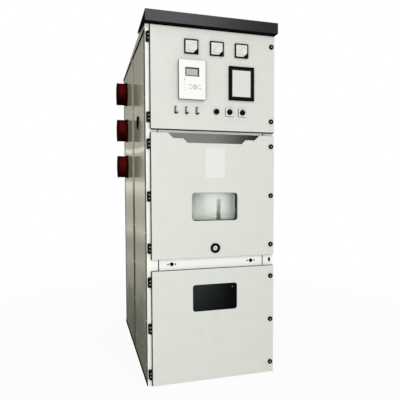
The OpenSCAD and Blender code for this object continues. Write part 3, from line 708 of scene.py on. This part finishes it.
def meter_numbers(bm):
    """Plain numbers inside each meter's scale."""
    for x in meter_xs:
        for i, number in enumerate(NUMBERS):
            curve = bpy.data.curves.new("dial_number", "FONT")
            curve.body = number
            curve.size = NUMBER_SIZE
            curve.extrude = INK_T / 2
            curve.align_x = "CENTER"
            curve.align_y = "CENTER"
            writing = bpy.data.objects.new("dial_number", curve)
            spot = scale_place(x, scale_turn(i, len(NUMBERS) - 1), SCALE_R - NUMBER_INSET)
            first = len(bm.verts)
            bm.from_mesh(writing.to_mesh())
            bm.verts.ensure_lookup_table()
            for vertex in bm.verts[first:]:
                vertex.co = spot + Vector((vertex.co.x, ink_y + INK_T / 2 - vertex.co.z, vertex.co.y))
            writing.to_mesh_clear()
            bpy.data.objects.remove(writing)
            bpy.data.curves.remove(curve)
    bmesh.ops.remove_doubles(bm, verts=bm.verts, dist=0.001 * MM)


pieces_on(
    "instrument_door",
    (meter_dials, "dial_card", "white_plastic"),
    (meter_scales, "printed_grey", "black_plastic"),
    (meter_numbers, "printed_grey", "black_plastic"),
    (meter_needles, "printed_black", "black_plastic"),
    (meter_zero_screws, "hinge_black_coat", "black_plastic"),
)


# Protection relay

RELAY_PLATE_T = 2 * MM
# Width, height and corner radius of the opening for the display, and of the screen that shows in it
DISPLAY = (84 * MM, 52 * MM, 1 * MM)
SCREEN = (68 * MM, 38 * MM, 1 * MM)
DISPLAY_DROP = 68 * MM
SCREEN_SHIFT = 1.5 * MM
# Places on the relay's plate, from its middle
LAMP_X = -46.5 * MM
LAMP_TOP = -1 * MM
LAMP_PITCH = 15 * MM
KEY_XS = (-12.5 * MM, 44.5 * MM)
KEY_ZS = (-31 * MM, -51 * MM)
PAD_PLACE = (16 * MM, -41 * MM)
PORT_PLACE = (-6 * MM, -90 * MM)
# Width and height of a key and of the cover over the port
KEY = (12 * MM, 8 * MM)
PORT = (62 * MM, 16 * MM)
KEY_PROUD = 1.8 * MM
LAMP_DOME = ((2.6, 0), (2.4, 1), (1.4, 1.9), (0.1, 2.2))
PAD_BUTTON = ((5, 0), (4.8, 1.5), (0.1, 1.9))
relay_low, relay_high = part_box("relay")
relay_x, relay_z = flat_middle("relay")
relay_face = relay_low.y
relay_front = relay_face - RELAY_PLATE_T
display_centre = (relay_x, relay_high.z - DISPLAY_DROP)


def on_relay(offset_x, offset_z):
    """A place on the relay's plate, as X and Z."""
    return relay_x + offset_x, relay_z + offset_z


def relay_front_plate(bm):
    outer = (relay_high.x - relay_low.x, relay_high.z - relay_low.z, 5 * MM)
    surround(bm, (relay_x, relay_z), outer, DISPLAY, relay_face, relay_front, display_centre)


def relay_display_frame(bm):
    screen_centre = (display_centre[0] - SCREEN_SHIFT, display_centre[1] - SCREEN_SHIFT)
    surround(
        bm, display_centre, DISPLAY, SCREEN, relay_face + DIAL_DEPTH, relay_front + 0.4 * MM, screen_centre,
        slope=2.5 * MM,
    )


def relay_display(bm):
    width, height, corner = DISPLAY
    plate(
        bm, display_centre, width - 2 * MM, height - 2 * MM, relay_face + DIAL_DEPTH, relay_face + 1.4 * MM,
        corner, 0.2 * MM,
    )


def domed_lamp(bm, number):
    """A lamp in the column left of the keys, counted from the top."""
    x, z = on_relay(LAMP_X, LAMP_TOP - number * LAMP_PITCH)
    turned(bm, scaled(LAMP_DOME, MM), (x, relay_front, z), FRONT, 16)


def relay_ready_lamp(bm):
    domed_lamp(bm, 0)


def relay_status_lamps(bm):
    for number in range(1, 5):
        domed_lamp(bm, number)


def relay_keys(bm):
    for key_x in KEY_XS:
        for key_z in KEY_ZS:
            centre = on_relay(key_x, key_z)
            plate(bm, centre, *KEY, relay_front, relay_front - KEY_PROUD, 2 * MM, 0.6 * MM)
    x, z = on_relay(*PAD_PLACE)
    pad = (x, relay_front, z)
    ring(bm, 8 * MM, 15 * MM, KEY_PROUD, pad, FRONT)
    turned(bm, scaled(PAD_BUTTON, MM), pad, FRONT)


def relay_port_cover(bm):
    centre = on_relay(*PORT_PLACE)
    plate(bm, centre, *PORT, relay_front, relay_front - 0.8 * MM, 2 * MM, 0.4 * MM)


pieces_on(
    "instrument_door",
    (relay_front_plate, "relay_white_moulding", "white_plastic"),
    (relay_display_frame, "display_edge", "black_plastic"),
    (relay_display, "display_screen", "black_plastic"),
    (relay_ready_lamp, "printed_black", "black_plastic"),
    (relay_status_lamps, "grey_keys", "white_plastic"),
    (relay_keys, "grey_keys", "white_plastic"),
    (relay_port_cover, "relay_white_moulding", "white_plastic"),
)


# Indicator, button and switches on the instrument door

BEZEL = 6 * MM
BUTTON_CAP = ((13, 0), (13, 1), (11.6, 2.2), (8, 2.8), (0.1, 3))
BUTTON_PROUD = 10 * MM
COLLAR_BORE_R = 14.3 * MM
FACE_T = 1.2 * MM
FACE_MARGIN = 1.5 * MM
FACE_SHIFT = (0.8 * MM, 0.4 * MM)
# Where a switch's marks and its knob's pointer start and end, from the middle of the knob
MARK_RADII = (19 * MM, 23 * MM)
POINTER_RADII = (4 * MM, 15 * MM)
POINTER_WIDTH = 1.8 * MM
plates_low, plates_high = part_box("switch_plates")
plate_side = plates_high.z - plates_low.z
switch_z = middle("switch_plates").z
switch_xs = [plates_low.x + plate_side / 2, plates_high.x - plate_side / 2]
switch_front = plates_low.y - FACE_T


def indicator_bezel(bm):
    low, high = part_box("indicator_pane")
    width, height = high.x - low.x, high.z - low.z
    inner = (width - 2 * BEZEL, height - 2 * BEZEL, 1 * MM)
    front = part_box("indicator_frame")[0].y + 0.5 * MM
    surround(
        bm, flat_middle("indicator_frame"), (width, height, 1 * MM), inner, low.y, front, slope=2.2 * MM
    )


def button_cap(bm):
    turned(bm, scaled(BUTTON_CAP, MM), front_middle("push_button"), FRONT)


def button_collar(bm):
    low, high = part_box("push_button")
    seat = front_middle("push_button") + BACK * BUTTON_PROUD
    ring(bm, COLLAR_BORE_R, (high.x - low.x) / 2, 2 * MM, seat, FRONT)


def switch_faces(bm):
    side = plate_side - 2 * FACE_MARGIN
    for x in switch_xs:
        centre = (x + FACE_SHIFT[0], switch_z + FACE_SHIFT[1])
        plate(bm, centre, side, side, plates_low.y, switch_front, 3 * MM, 0.5 * MM)


def switch_marks(bm):
    """Marks for the three places of each knob."""
    for x in switch_xs:
        for turn in (math.radians(45), math.radians(90), math.radians(135)):
            start, end = [
                Vector((x + radius * math.cos(turn), 0, switch_z + radius * math.sin(turn)))
                for radius in MARK_RADII
            ]
            flat_bar(bm, start, end, 1.2 * MM, switch_front - 0.1 * MM)


def pointer(bm, knob):
    x, y, z = front_middle(knob)
    half = POINTER_WIDTH / 2
    start, end = POINTER_RADII
    strip(bm, (x - half, y - 0.3 * MM, z + start), (x + half, y + 0.2 * MM, z + end), 0.1 * MM)


pieces_on(
    "instrument_door",
    (indicator_bezel, "black_rubber_and_shade", "black_plastic"),
    (button_cap, "black_moulding", "black_plastic"),
    (button_collar, "trim_grey", "bright_metal"),
    (switch_marks, "printed_black", "black_plastic"),
    (switch_faces, "relay_white_moulding", "white_plastic"),
)
for knob in ("left_knob", "right_knob"):
    piece(pointer, knob, "printed_grey", "white_plastic", knob)


# Test links on the instrument door

LINK_FOOT = 22 * MM
LINK_FOOT_PROUD = 6 * MM
LINK_STRAP = 8 * MM
LINK_NOSE = 15 * MM
LINK_HOOK = 19 * MM
LINK_HOOK_T = 5 * MM
LINK_SPLIT = 9 * MM
LINK_NUT_R = 3.2 * MM
# Places of the nuts, in shares of the strap's width and the link's height
LINK_NUTS = ((0.5, 0.88), (0.8, 0.48))
links_low, links_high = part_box("test_links")
link_height = links_high.z - links_low.z
link_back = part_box("instrument_door")[0].y


def link_corners():
    """Lower left corner of each test link, as X and Z."""
    pitch = (links_high.x - links_low.x - LINK_FOOT) / 2
    return [(links_low.x + i * pitch, links_low.z) for i in range(3)]


def drawn_out(bm, outline, corner, front):
    """An outline drawn out from the instrument door's face, with its front edges eased."""
    ahead = loft(bm, [at_depth(outline, corner, link_back), at_depth(outline, corner, front)])[-1]
    edges = {line for vertex in ahead for line in vertex.link_edges}
    rim = [line for line in edges if all(end in ahead for end in line.verts)]
    bmesh.ops.bevel(bm, geom=rim, offset=0.5 * MM, segments=1, affect="EDGES")


def link_straps(bm):
    """Metal strap of each test link, with a nose at its top that points to the right."""
    nose = LINK_HOOK_T / 2
    outline = [(0, LINK_SPLIT), (LINK_STRAP, LINK_SPLIT), (LINK_STRAP, link_height - LINK_HOOK_T - 1 * MM)]
    outline += arc(LINK_NOSE - nose, link_height - nose, nose, -90, 90)
    outline += arc(LINK_STRAP / 2, link_height - LINK_STRAP / 2, LINK_STRAP / 2, 90, 180)
    for corner in link_corners():
        drawn_out(bm, outline, corner, links_low.y + LINK_FOOT_PROUD)


def link_feet(bm):
    """Dark handle at the foot of each test link, which hooks up to the right."""
    tip = LINK_HOOK_T / 2
    bend = LINK_HOOK_T + 2 * MM
    outline = [(0, LINK_SPLIT)] + arc(bend, bend, bend, 180, 270)
    outline += arc(LINK_HOOK - bend, bend, bend, 270, 360)
    outline += arc(LINK_HOOK - tip, LINK_SPLIT + 1 * MM, tip, 0, 180)
    outline += arc(LINK_HOOK - bend, bend, bend - LINK_HOOK_T, 360, 270)
    outline += [(LINK_STRAP, LINK_HOOK_T), (LINK_STRAP, LINK_SPLIT)]
    for corner in link_corners():
        drawn_out(bm, outline, corner, links_low.y)


def link_nuts(bm):
    """Clamp nuts at the top and at the middle of each strap."""
    face = links_low.y + LINK_FOOT_PROUD
    profile = [(LINK_NUT_R, 0), (LINK_NUT_R, 2.4 * MM), (0.8 * LINK_NUT_R, 3.2 * MM), (0.1 * MM, 3.4 * MM)]
    for x, z in link_corners():
        for share_x, share_z in LINK_NUTS:
            spot = (x + share_x * LINK_STRAP, face, z + share_z * link_height)
            turned(bm, profile, spot, FRONT, 12)


straps = piece(link_straps, "instrument_door", "link_metal", "black_metal")
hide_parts("test_links")
piece(link_feet, "instrument_door", "black_moulding", "black_plastic")
piece(link_nuts, "instrument_door", "hinge_black_coat", "black_metal")


# Locks, hinges and edge seals of the three doors

DOORS = ("instrument", "breaker", "cable")
LOCK_INSERT = ((3.4, -0.5), (3.4, 0.6), (2.9, 1.2), (2.2, 1.0), (1.5, -0.4), (0.1, -0.4))
SEAL_T = 5 * MM
HINGE_SEAL = 2.6 * MM
THIN_SEAL = 1.2 * MM
FOOT_SEAL = 6 * MM
SEAL_SETBACK = 2 * MM
SEAL_MARGIN = 1 * MM
# Half of the height that a hinge takes up, and that its middle knuckle takes up
HINGE_ROOM = 32 * MM
KNUCKLE_ROOM = 11 * MM
# Share of a hinge's height that its three knuckles take up
KNUCKLE_SHARE = 54 / 60
PIN_R = 3 * MM
WASHER_PLAY = 0.2 * MM


def fixing_zs(door):
    """Heights of a door's locks, which its hinges share: two on the upper door and three on the others."""
    low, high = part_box(door + "_locks")
    reach = (high.x - low.x) / 2
    ends = [low.z + reach, high.z - reach]
    return ends if door == "instrument" else [ends[0], sum(ends) / 2, ends[1]]


def lock_inserts(bm, door):
    face = front_middle(door + "_locks")
    for z in fixing_zs(door):
        turned(bm, scaled(LOCK_INSERT, MM), (face.x, face.y, z), FRONT)


def edge_seal(bm, door):
    """Rubber along a door's hinged edge, thin beside its hinges, with thin lips along its top and bottom:
    dark strips that are partly a seal and partly painted shade on the door's folded edges and in the gaps.
    """
    low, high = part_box(door + "_door")
    back, front = high.y - SEAL_MARGIN, low.y + SEAL_SETBACK
    stops = [low.z]
    for z in sorted(fixing_zs(door)):
        stops += [z - HINGE_ROOM, z + HINGE_ROOM]
        for start in (z - HINGE_ROOM, z + KNUCKLE_ROOM):
            end = start + HINGE_ROOM - KNUCKLE_ROOM
            strip(bm, (low.x - HINGE_SEAL, front, start), (low.x, back, end), 0.4 * MM)
    stops.append(high.z)
    for start, end in zip(stops[::2], stops[1::2]):
        strip(bm, (low.x - SEAL_T, front, start), (low.x, back, end), 0.8 * MM)
    foot_t = FOOT_SEAL if door == "instrument" else THIN_SEAL
    for edge_low, edge_high in ((low.z - foot_t, low.z), (high.z, high.z + THIN_SEAL)):
        strip(bm, (low.x, front, edge_low), (high.x - SEAL_MARGIN, back, edge_high), 0.4 * MM)


def hinge_washers(bm):
    """White washers in the two gaps between the knuckles of every hinge."""
    low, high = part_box("instrument_hinge_leaves")
    knuckle = low.x + (high.y - low.y) / 2
    hinge_height = 2 * (min(fixing_zs("cable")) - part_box("hinge_posts")[0].z)
    leaf = hinge_height * KNUCKLE_SHARE / 3
    gap = hinge_height * (1 - KNUCKLE_SHARE) / 2
    for door in DOORS:
        for z in fixing_zs(door):
            for start in (z + leaf / 2, z - leaf / 2 - gap):
                foot = (knuckle, (low.y + high.y) / 2, start + WASHER_PLAY)
                ring(bm, PIN_R + 0.2 * MM, PIN_R + 2.5 * MM, gap - 2 * WASHER_PLAY, foot, UP, 20)


for door in DOORS:
    piece(lock_inserts, door + "_door", "bright_steel", "bright_metal", door)
    piece(edge_seal, door + "_door", "black_rubber_and_shade", "black_plastic", door)
piece(hinge_washers, "cubicle", "relay_white_moulding", "white_plastic")


# Windows, blank plate and crank socket

# Width, height and corner radius of the windows in the doors
WINDOW = (282 * MM, 165 * MM, 16 * MM)
LIP_T = 2.5 * MM
LIP_PROUD = 0.6 * MM
BLANK_PLATE = (122 * MM, 181 * MM)
BLANK_PLATE_SHIFT = 2.5 * MM
BLANK_PLATE_Z = 1339 * MM
BLANK_PLATE_T = 1.2 * MM
GROOVE_X = 63.5 * MM
GROOVE_WIDTH = 26 * MM
GROOVE_HEIGHT = 306 * MM
GROOVE_RISE = 80 * MM
GROOVE_PLAY = 0.3 * MM
# Place of the screw in the lower window, from the pane's upper right corner
PANE_SCREW = (45 * MM, 41 * MM)


def window_lip(bm, door):
    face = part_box(door + "_door")[0].y
    width, height, corner = WINDOW
    outer = (width + 2 * LIP_T, height + 2 * LIP_T, corner + LIP_T)
    surround(bm, flat_middle(door + "_window"), outer, WINDOW, face, face - LIP_PROUD)


def blank_plate(bm):
    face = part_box("breaker_door")[0].y
    centre = (middle("breaker_door").x + BLANK_PLATE_SHIFT, BLANK_PLATE_Z)
    plate(bm, centre, *BLANK_PLATE, face, face - BLANK_PLATE_T, 4 * MM, 0.5 * MM)


def socket_pin(bm):
    ring(bm, 3 * MM, 6 * MM, 1.2 * MM, front_middle("socket_core"), FRONT)


def truck_groove_bar(bm):
    """Painted back of the groove in the breaker truck's front, with painted light and shade along its height.
    """
    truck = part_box("truck_front")[0]
    reach = GROOVE_WIDTH / 2 - GROOVE_PLAY
    foot = truck.z + GROOVE_RISE
    strip(
        bm, (GROOVE_X - reach, truck.y + 0.6 * MM, foot + GROOVE_PLAY),
        (GROOVE_X + reach, truck.y + 2 * MM, foot + GROOVE_HEIGHT - GROOVE_PLAY), 0.2 * MM,
    )


def cable_pane_screw(bm):
    low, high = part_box("cable_window")
    pan_screw(bm, (high.x - PANE_SCREW[0], low.y, high.z - PANE_SCREW[1]), FRONT, 2.6 * MM)


piece(truck_groove_bar, "cubicle", "groove_paint", "galvanised_sheet")
piece(cable_pane_screw, "cable_door", "bright_steel", "bright_metal")
piece(window_lip, "breaker_door", "trim_grey", "black_plastic", "breaker")
piece(window_lip, "cable_door", "plate_film", "white_plastic", "cable")
piece(blank_plate, "breaker_door", "plate_film", "white_plastic")
piece(socket_pin, "breaker_door", "relay_case_moulding", "bright_metal")


# Interlock panel and the joints between posts and rails

INTERLOCK_REACH = 252 * MM
SCREW_STEP = 22 * MM
POST_SHEET = 2 * MM
SLOT_INSET = 22 * MM
# Width, height and corner radius of the slot in the right post, and of the rim round it
SLOT = (10 * MM, 22 * MM, 4.9 * MM)
SLOT_RIM = (15 * MM, 27 * MM, 7.4 * MM)
# Width and height of the dark plate behind the slot, which is painted shade in the slot
SLOT_SHADOW_PLATE = (18 * MM, 32 * MM)
RAIL_JOINT = 6 * MM
FILLER_PLAY = 0.1 * MM
# Depths of the filler's front and back behind a rail's face
FILLER_FRONT = 0.4 * MM
FILLER_BACK = 8 * MM
panel_front = front_middle("interlock_panel")


def interlock_place(side):
    """The middle of the interlock hole on one side of the panel."""
    return Vector((side.x * INTERLOCK_REACH, panel_front.y, panel_front.z))


def interlock_bushes(bm):
    for side in (LEFT, RIGHT):
        ring(bm, 8 * MM, 11.5 * MM, 1.5 * MM, interlock_place(side), FRONT)


def interlock_screws(bm):
    for side in (LEFT, RIGHT):
        for way in (LEFT, RIGHT):
            pan_screw(bm, interlock_place(side) + way * SCREW_STEP, FRONT, 4.8 * MM)


def slot_guide(bm):
    """Dark plate behind the slot in the right post, painted shade in the slot, and the slot's rim on the
    post's face.
    """
    low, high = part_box("right_front_post")
    centre = (high.x - SLOT_INSET, panel_front.z)
    back = low.y + POST_SHEET + 0.3 * MM
    plate(bm, centre, *SLOT_SHADOW_PLATE, back + 2 * MM, back, 3 * MM, 0.5 * MM)
    surround(bm, centre, SLOT_RIM, SLOT, low.y, low.y - 0.8 * MM)


def rail_joint_fillers(bm):
    """Dark strips in the open joints between the posts and the rails that show between the doors: painted
    shade in the joints.
    """
    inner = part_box("bottom_rail")[1].x
    gap = (inner + FILLER_PLAY, inner + RAIL_JOINT - FILLER_PLAY)
    for name in ("interlock_panel", "upper_rail"):
        low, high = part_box(name)
        y_range = (low.y + FILLER_FRONT, low.y + FILLER_BACK)
        on_both_sides(bm, gap, y_range, (low.z, high.z), 0.1 * MM)


pieces_on(
    "cubicle",
    (interlock_bushes, "black_seal_and_shade", "black_metal"),
    (slot_guide, "black_seal_and_shade", "black_plastic"),
    (interlock_screws, "black_seal_and_shade", "bright_metal"),
    (rail_joint_fillers, "black_seal_and_shade", "black_plastic"),
)


# Side walls

SEAM_PROUD = 5 * MM
SEAM_BACK = -10 * MM
BEAD_PROUD = 3.5 * MM
BEAD_HEIGHT = 14 * MM
FOOT_HEIGHT = 20 * MM
FOLD_T = 0.6 * MM
FOLD_MARGIN = 1 * MM
SCREW_COUNT = 8
SCREW_MARGIN = 120 * MM
# Distance of the upright rows of screws from the walls' ends and from the seam
END_INSET = 40 * MM
SEAM_INSET = 24 * MM
WIRING_R = 40 * MM
# Place of the wiring holes, from the interlock panel's front and from the walls' top
WIRING_PLACE = (376 * MM, 496 * MM)
COLLAR_DEPTH = 18 * MM
SLEEVE_WALL = 9 * MM
SLEEVE_FLANGE = 6 * MM
LINING_T = 1 * MM
LINING_PLAY = 0.2 * MM
# How far a sleeve's lining is set back from its inner end and from its mouth
LINING_SETBACK = (1 * MM, 3 * MM)
side_low, side_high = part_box("left_front_side")
side_top = side_high.z
wall_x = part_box("right_front_side")[1].x
between_beads = (FOOT_HEIGHT, side_top - BEAD_HEIGHT)


def side_seam_strips(bm):
    """Folded edge that covers the upright seam of each side wall."""
    x_range = (wall_x, wall_x + SEAM_PROUD)
    on_both_sides(bm, x_range, (SEAM_FRONT, SEAM_BACK), between_beads, 0.6 * MM)


def side_wall_beads(bm):
    """Dark strips along the top and the foot of each side wall: painted shadow under the roof's edge and at
    the wall's base.
    """
    y_range = (side_low.y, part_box("left_rear_side")[1].y)
    for z_range in ((side_top - BEAD_HEIGHT, side_top), (1 * MM, FOOT_HEIGHT)):
        on_both_sides(bm, (wall_x, wall_x + BEAD_PROUD), y_range, z_range, 0.3 * MM)


def side_edge_folds(bm):
    """Narrow folds of the side sheets that lap the outer faces of the four posts, darker than the zinc as
    painted shade on the posts' sides.
    """
    for name in ("left_front_post", "rear_posts"):
        low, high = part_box(name)
        y_range = (low.y + FOLD_MARGIN, high.y - FOLD_MARGIN)
        on_both_sides(bm, (wall_x, wall_x + FOLD_T), y_range, between_beads, 0.2 * MM)


def side_screws(bm):
    """Upright rows of screws along the ends of both walls and along their seams."""
    end = -side_low.y - END_INSET
    pitch = (side_top - 2 * SCREW_MARGIN) / (SCREW_COUNT - 1)
    for side in (LEFT, RIGHT):
        for y in (-end, SEAM_FRONT - SEAM_INSET, SEAM_BACK + SEAM_INSET, end):
            for i in range(SCREW_COUNT):
                pan_screw(bm, (side.x * wall_x, y, SCREW_MARGIN + i * pitch), side, 4 * MM)


def wiring_grommets(bm):
    """Edge grommet in each wiring hole: a thin lip outside and a deep collar inside."""
    for side in (LEFT, RIGHT):
        hole = Vector((side.x * wall_x, panel_front.y + WIRING_PLACE[0], side_top - WIRING_PLACE[1]))
        ring(bm, WIRING_R - 2 * MM, WIRING_R + 3 * MM, 5.5 * MM, hole, side, 48)
        ring(bm, WIRING_R - 2 * MM, WIRING_R - 0.5 * MM, COLLAR_DEPTH, hole - side * COLLAR_DEPTH, side, 48)


def sleeve_linings(bm):
    """Dark lining in the bore of each busbar sleeve, set back from its mouth: painted shade inside the bore.
    """
    for name in ("top_sleeve", "middle_sleeve", "bottom_sleeve"):
        low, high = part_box(name)
        outer = (high.z - low.z) / 2 - SLEEVE_FLANGE - SLEEVE_WALL - LINING_PLAY
        inner_end = (high.x - LINING_SETBACK[0], middle(name).y, middle(name).z)
        length = high.x - low.x - sum(LINING_SETBACK)
        ring(bm, outer - LINING_T, outer, length, inner_end, LEFT, 48)


pieces_on(
    "cubicle",
    (side_seam_strips, "seam_fold_painted_light", "galvanised_sheet"),
    (side_wall_beads, "black_seal_and_shade", "black_plastic"),
    (side_edge_folds, "edge_fold_shaded_zinc", "galvanised_sheet"),
    (side_screws, "bright_steel", "bright_metal"),
    (sleeve_linings, "black_seal_and_shade", "maroon_resin"),
    (wiring_grommets, "black_seal_and_shade", "black_plastic"),
)


# Back and roof

RIM_DEPTH = 3.5 * MM
RIM_WIDTH = 44 * MM
RIM_SLOPE = 8 * MM
COVER_CORNER = 3 * MM
REAR_COVERS = ("rear_upper_cover", "rear_lower_cover")
RELIEF_COVERS = 3
RELIEF_GAP = 30 * MM
RELIEF_SHEET = 2 * MM
BOLT_INSET = 18 * MM


def pressed(bm, cover):
    """A pressed cover: its field stands out from the rim that it is screwed on by."""
    low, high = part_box(cover)
    rim = high.y - RIM_DEPTH
    rings = []
    for inset, depth in ((0, low.y), (0, rim), (RIM_WIDTH, rim), (RIM_WIDTH + RIM_SLOPE, high.y)):
        outline = rounded_outline(high.x - low.x - 2 * inset, high.z - low.z - 2 * inset, COVER_CORNER)
        rings.append(at_depth(outline, flat_middle(cover), depth))
    loft(bm, rings)


def rear_screws(bm):
    """Screws round the rim of both rear covers, four spaces to a side."""
    inset = RIM_WIDTH / 2
    shares = [(side, i / 4) for i in range(5) for side in (0, 1)]
    shares += [(i / 4, side) for i in range(1, 4) for side in (0, 1)]
    for cover in REAR_COVERS:
        low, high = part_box(cover)
        for share_x, share_z in shares:
            x = low.x + inset + share_x * (high.x - low.x - 2 * inset)
            z = low.z + inset + share_z * (high.z - low.z - 2 * inset)
            pan_screw(bm, (x, high.y - RIM_DEPTH, z), BACK, 5 * MM)


def roof_bolts(bm):
    """Bolts along the front and the back of each relief cover, on the roof's slope."""
    low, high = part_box("relief_covers")
    length = (high.y - low.y - (RELIEF_COVERS - 1) * RELIEF_GAP) / RELIEF_COVERS
    for i in range(RELIEF_COVERS):
        start = low.y + i * (length + RELIEF_GAP)
        for share_x in (0, 0.25, 0.5, 0.75, 1):
            x = low.x + BOLT_INSET + share_x * (high.x - low.x - 2 * BOLT_INSET)
            for y in (start + BOLT_INSET, start + length - BOLT_INSET):
                share_y = (y - low.y) / (high.y - low.y)
                top = high.z + share_y * (low.z + RELIEF_SHEET - high.z)
                hexagon_bolt(bm, (x, y, top), UP, 9 * MM)


for cover in REAR_COVERS:
    new_cover = piece(pressed, "cubicle", "zinc_coated_cover", "galvanised_sheet", cover)
    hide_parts(cover)
piece(rear_screws, "cubicle", "bright_steel", "bright_metal")
piece(roof_bolts, "cubicle", "bright_steel", "bright_metal")


# Floor, light and camera

AMBIENT = 0.5
FLOOR_REACH = 30.0
FLOOR_GREY = (0.9, 0.9, 0.89, 1)
# Distances from the cubicle between which the floor's shadow fades out
SHADOW_FADE = (1.2, 4.0)


def sees_background(tree):
    """1 for rays that should meet the pale background itself: from the camera, by gloss or through glass."""
    path = place(tree, "LightPath").outputs
    return maths(
        tree, "MAXIMUM", path["Is Camera Ray"], path["Is Glossy Ray"], path["Is Transmission Ray"]
    )


def light_world():
    world = bpy.data.worlds.new("studio")
    bpy.context.scene.world = world
    world.use_nodes = True
    tree = world.node_tree
    tree.nodes.clear()
    seen = place(tree, "Background", {"Color": PLAIN, "Strength": 1.0})
    lit = place(tree, "Background", {"Color": PLAIN, "Strength": AMBIENT})
    both = place(tree, "MixShader", {0: sees_background(tree), 1: lit.outputs[0], 2: seen.outputs[0]})
    place(tree, "OutputWorld", {0: both.outputs[0]})


def lay_floor():
    """A pale floor that keeps a soft shadow near the cubicle and fades into the background far off."""
    mesh = bpy.data.meshes.new("floor")
    bm = bmesh.new()
    bmesh.ops.create_grid(bm, x_segments=8, y_segments=8, size=FLOOR_REACH)
    bm.to_mesh(mesh)
    bm.free()
    floor = bpy.data.objects.new("floor", mesh)
    floor.location.z = -0.5 * MM
    bpy.context.scene.collection.objects.link(floor)
    material = bpy.data.materials.new("pale_floor")
    material.use_nodes = True
    tree = material.node_tree
    tree.nodes.clear()
    distance = place(tree, "VectorMath", {0: own_position(tree)}, operation="LENGTH").outputs["Value"]
    lift = spread(tree, distance, *SHADOW_FADE, 0.94, 1.0)
    share = maths(tree, "MULTIPLY", sees_background(tree), lift)
    matt = place(tree, "BsdfDiffuse", {"Color": FLOOR_GREY})
    glow = place(tree, "Emission", {"Color": PLAIN, "Strength": 1.0})
    both = place(tree, "MixShader", {0: share, 1: matt.outputs[0], 2: glow.outputs[0]})
    place(tree, "OutputMaterial", {0: both.outputs[0]})
    mesh.materials.append(material)


def softbox(name, location, target, width, height, power):
    lamp = bpy.data.lights.new(name, "AREA")
    lamp.shape = "RECTANGLE"
    lamp.size = width
    lamp.size_y = height
    lamp.energy = power
    box = bpy.data.objects.new(name, lamp)
    box.location = location
    box.rotation_euler = (Vector(target) - Vector(location)).to_track_quat("-Z", "Y").to_euler()
    bpy.context.scene.collection.objects.link(box)


CAMERA_PLACE = (-0.761, -3.448, 1.208)
# Angles in degrees
CAMERA_YAW = 17.69
CAMERA_PITCH = 2.94
# Lengths in pixels of the photo
FOCAL_PIXELS = 465
PHOTO_SIDE = 400
VIEW_CENTRE = (230, 208.7)
SENSOR = 36.0


def set_camera():
    camera_data = bpy.data.cameras.new("camera")
    camera_data.sensor_width = SENSOR
    camera_data.lens = FOCAL_PIXELS / PHOTO_SIDE * SENSOR
    camera_data.shift_x = 0.5 - VIEW_CENTRE[0] / PHOTO_SIDE
    camera_data.shift_y = VIEW_CENTRE[1] / PHOTO_SIDE - 0.5
    camera = bpy.data.objects.new("camera", camera_data)
    camera.location = CAMERA_PLACE
    camera.rotation_euler = (math.radians(90 - CAMERA_PITCH), 0, math.radians(-CAMERA_YAW))
    bpy.context.scene.collection.objects.link(camera)
    bpy.context.scene.camera = camera


light_world()
lay_floor()
softbox("key_softbox", (-2.2, -5.1, 0.95), (0, -0.7, 0.9), 2.8, 1.8, 84)
softbox("fill_softbox", (1.25, -5.0, 0.95), (0, -0.7, 1.1), 0.32, 0.32, 6)
softbox("hood_softbox", (0.4, -5.2, 3.78), (0, -0.7, 2.1), 2.0, 0.5, 43)
set_camera()
bpy.context.scene.view_settings.view_transform = "Standard"
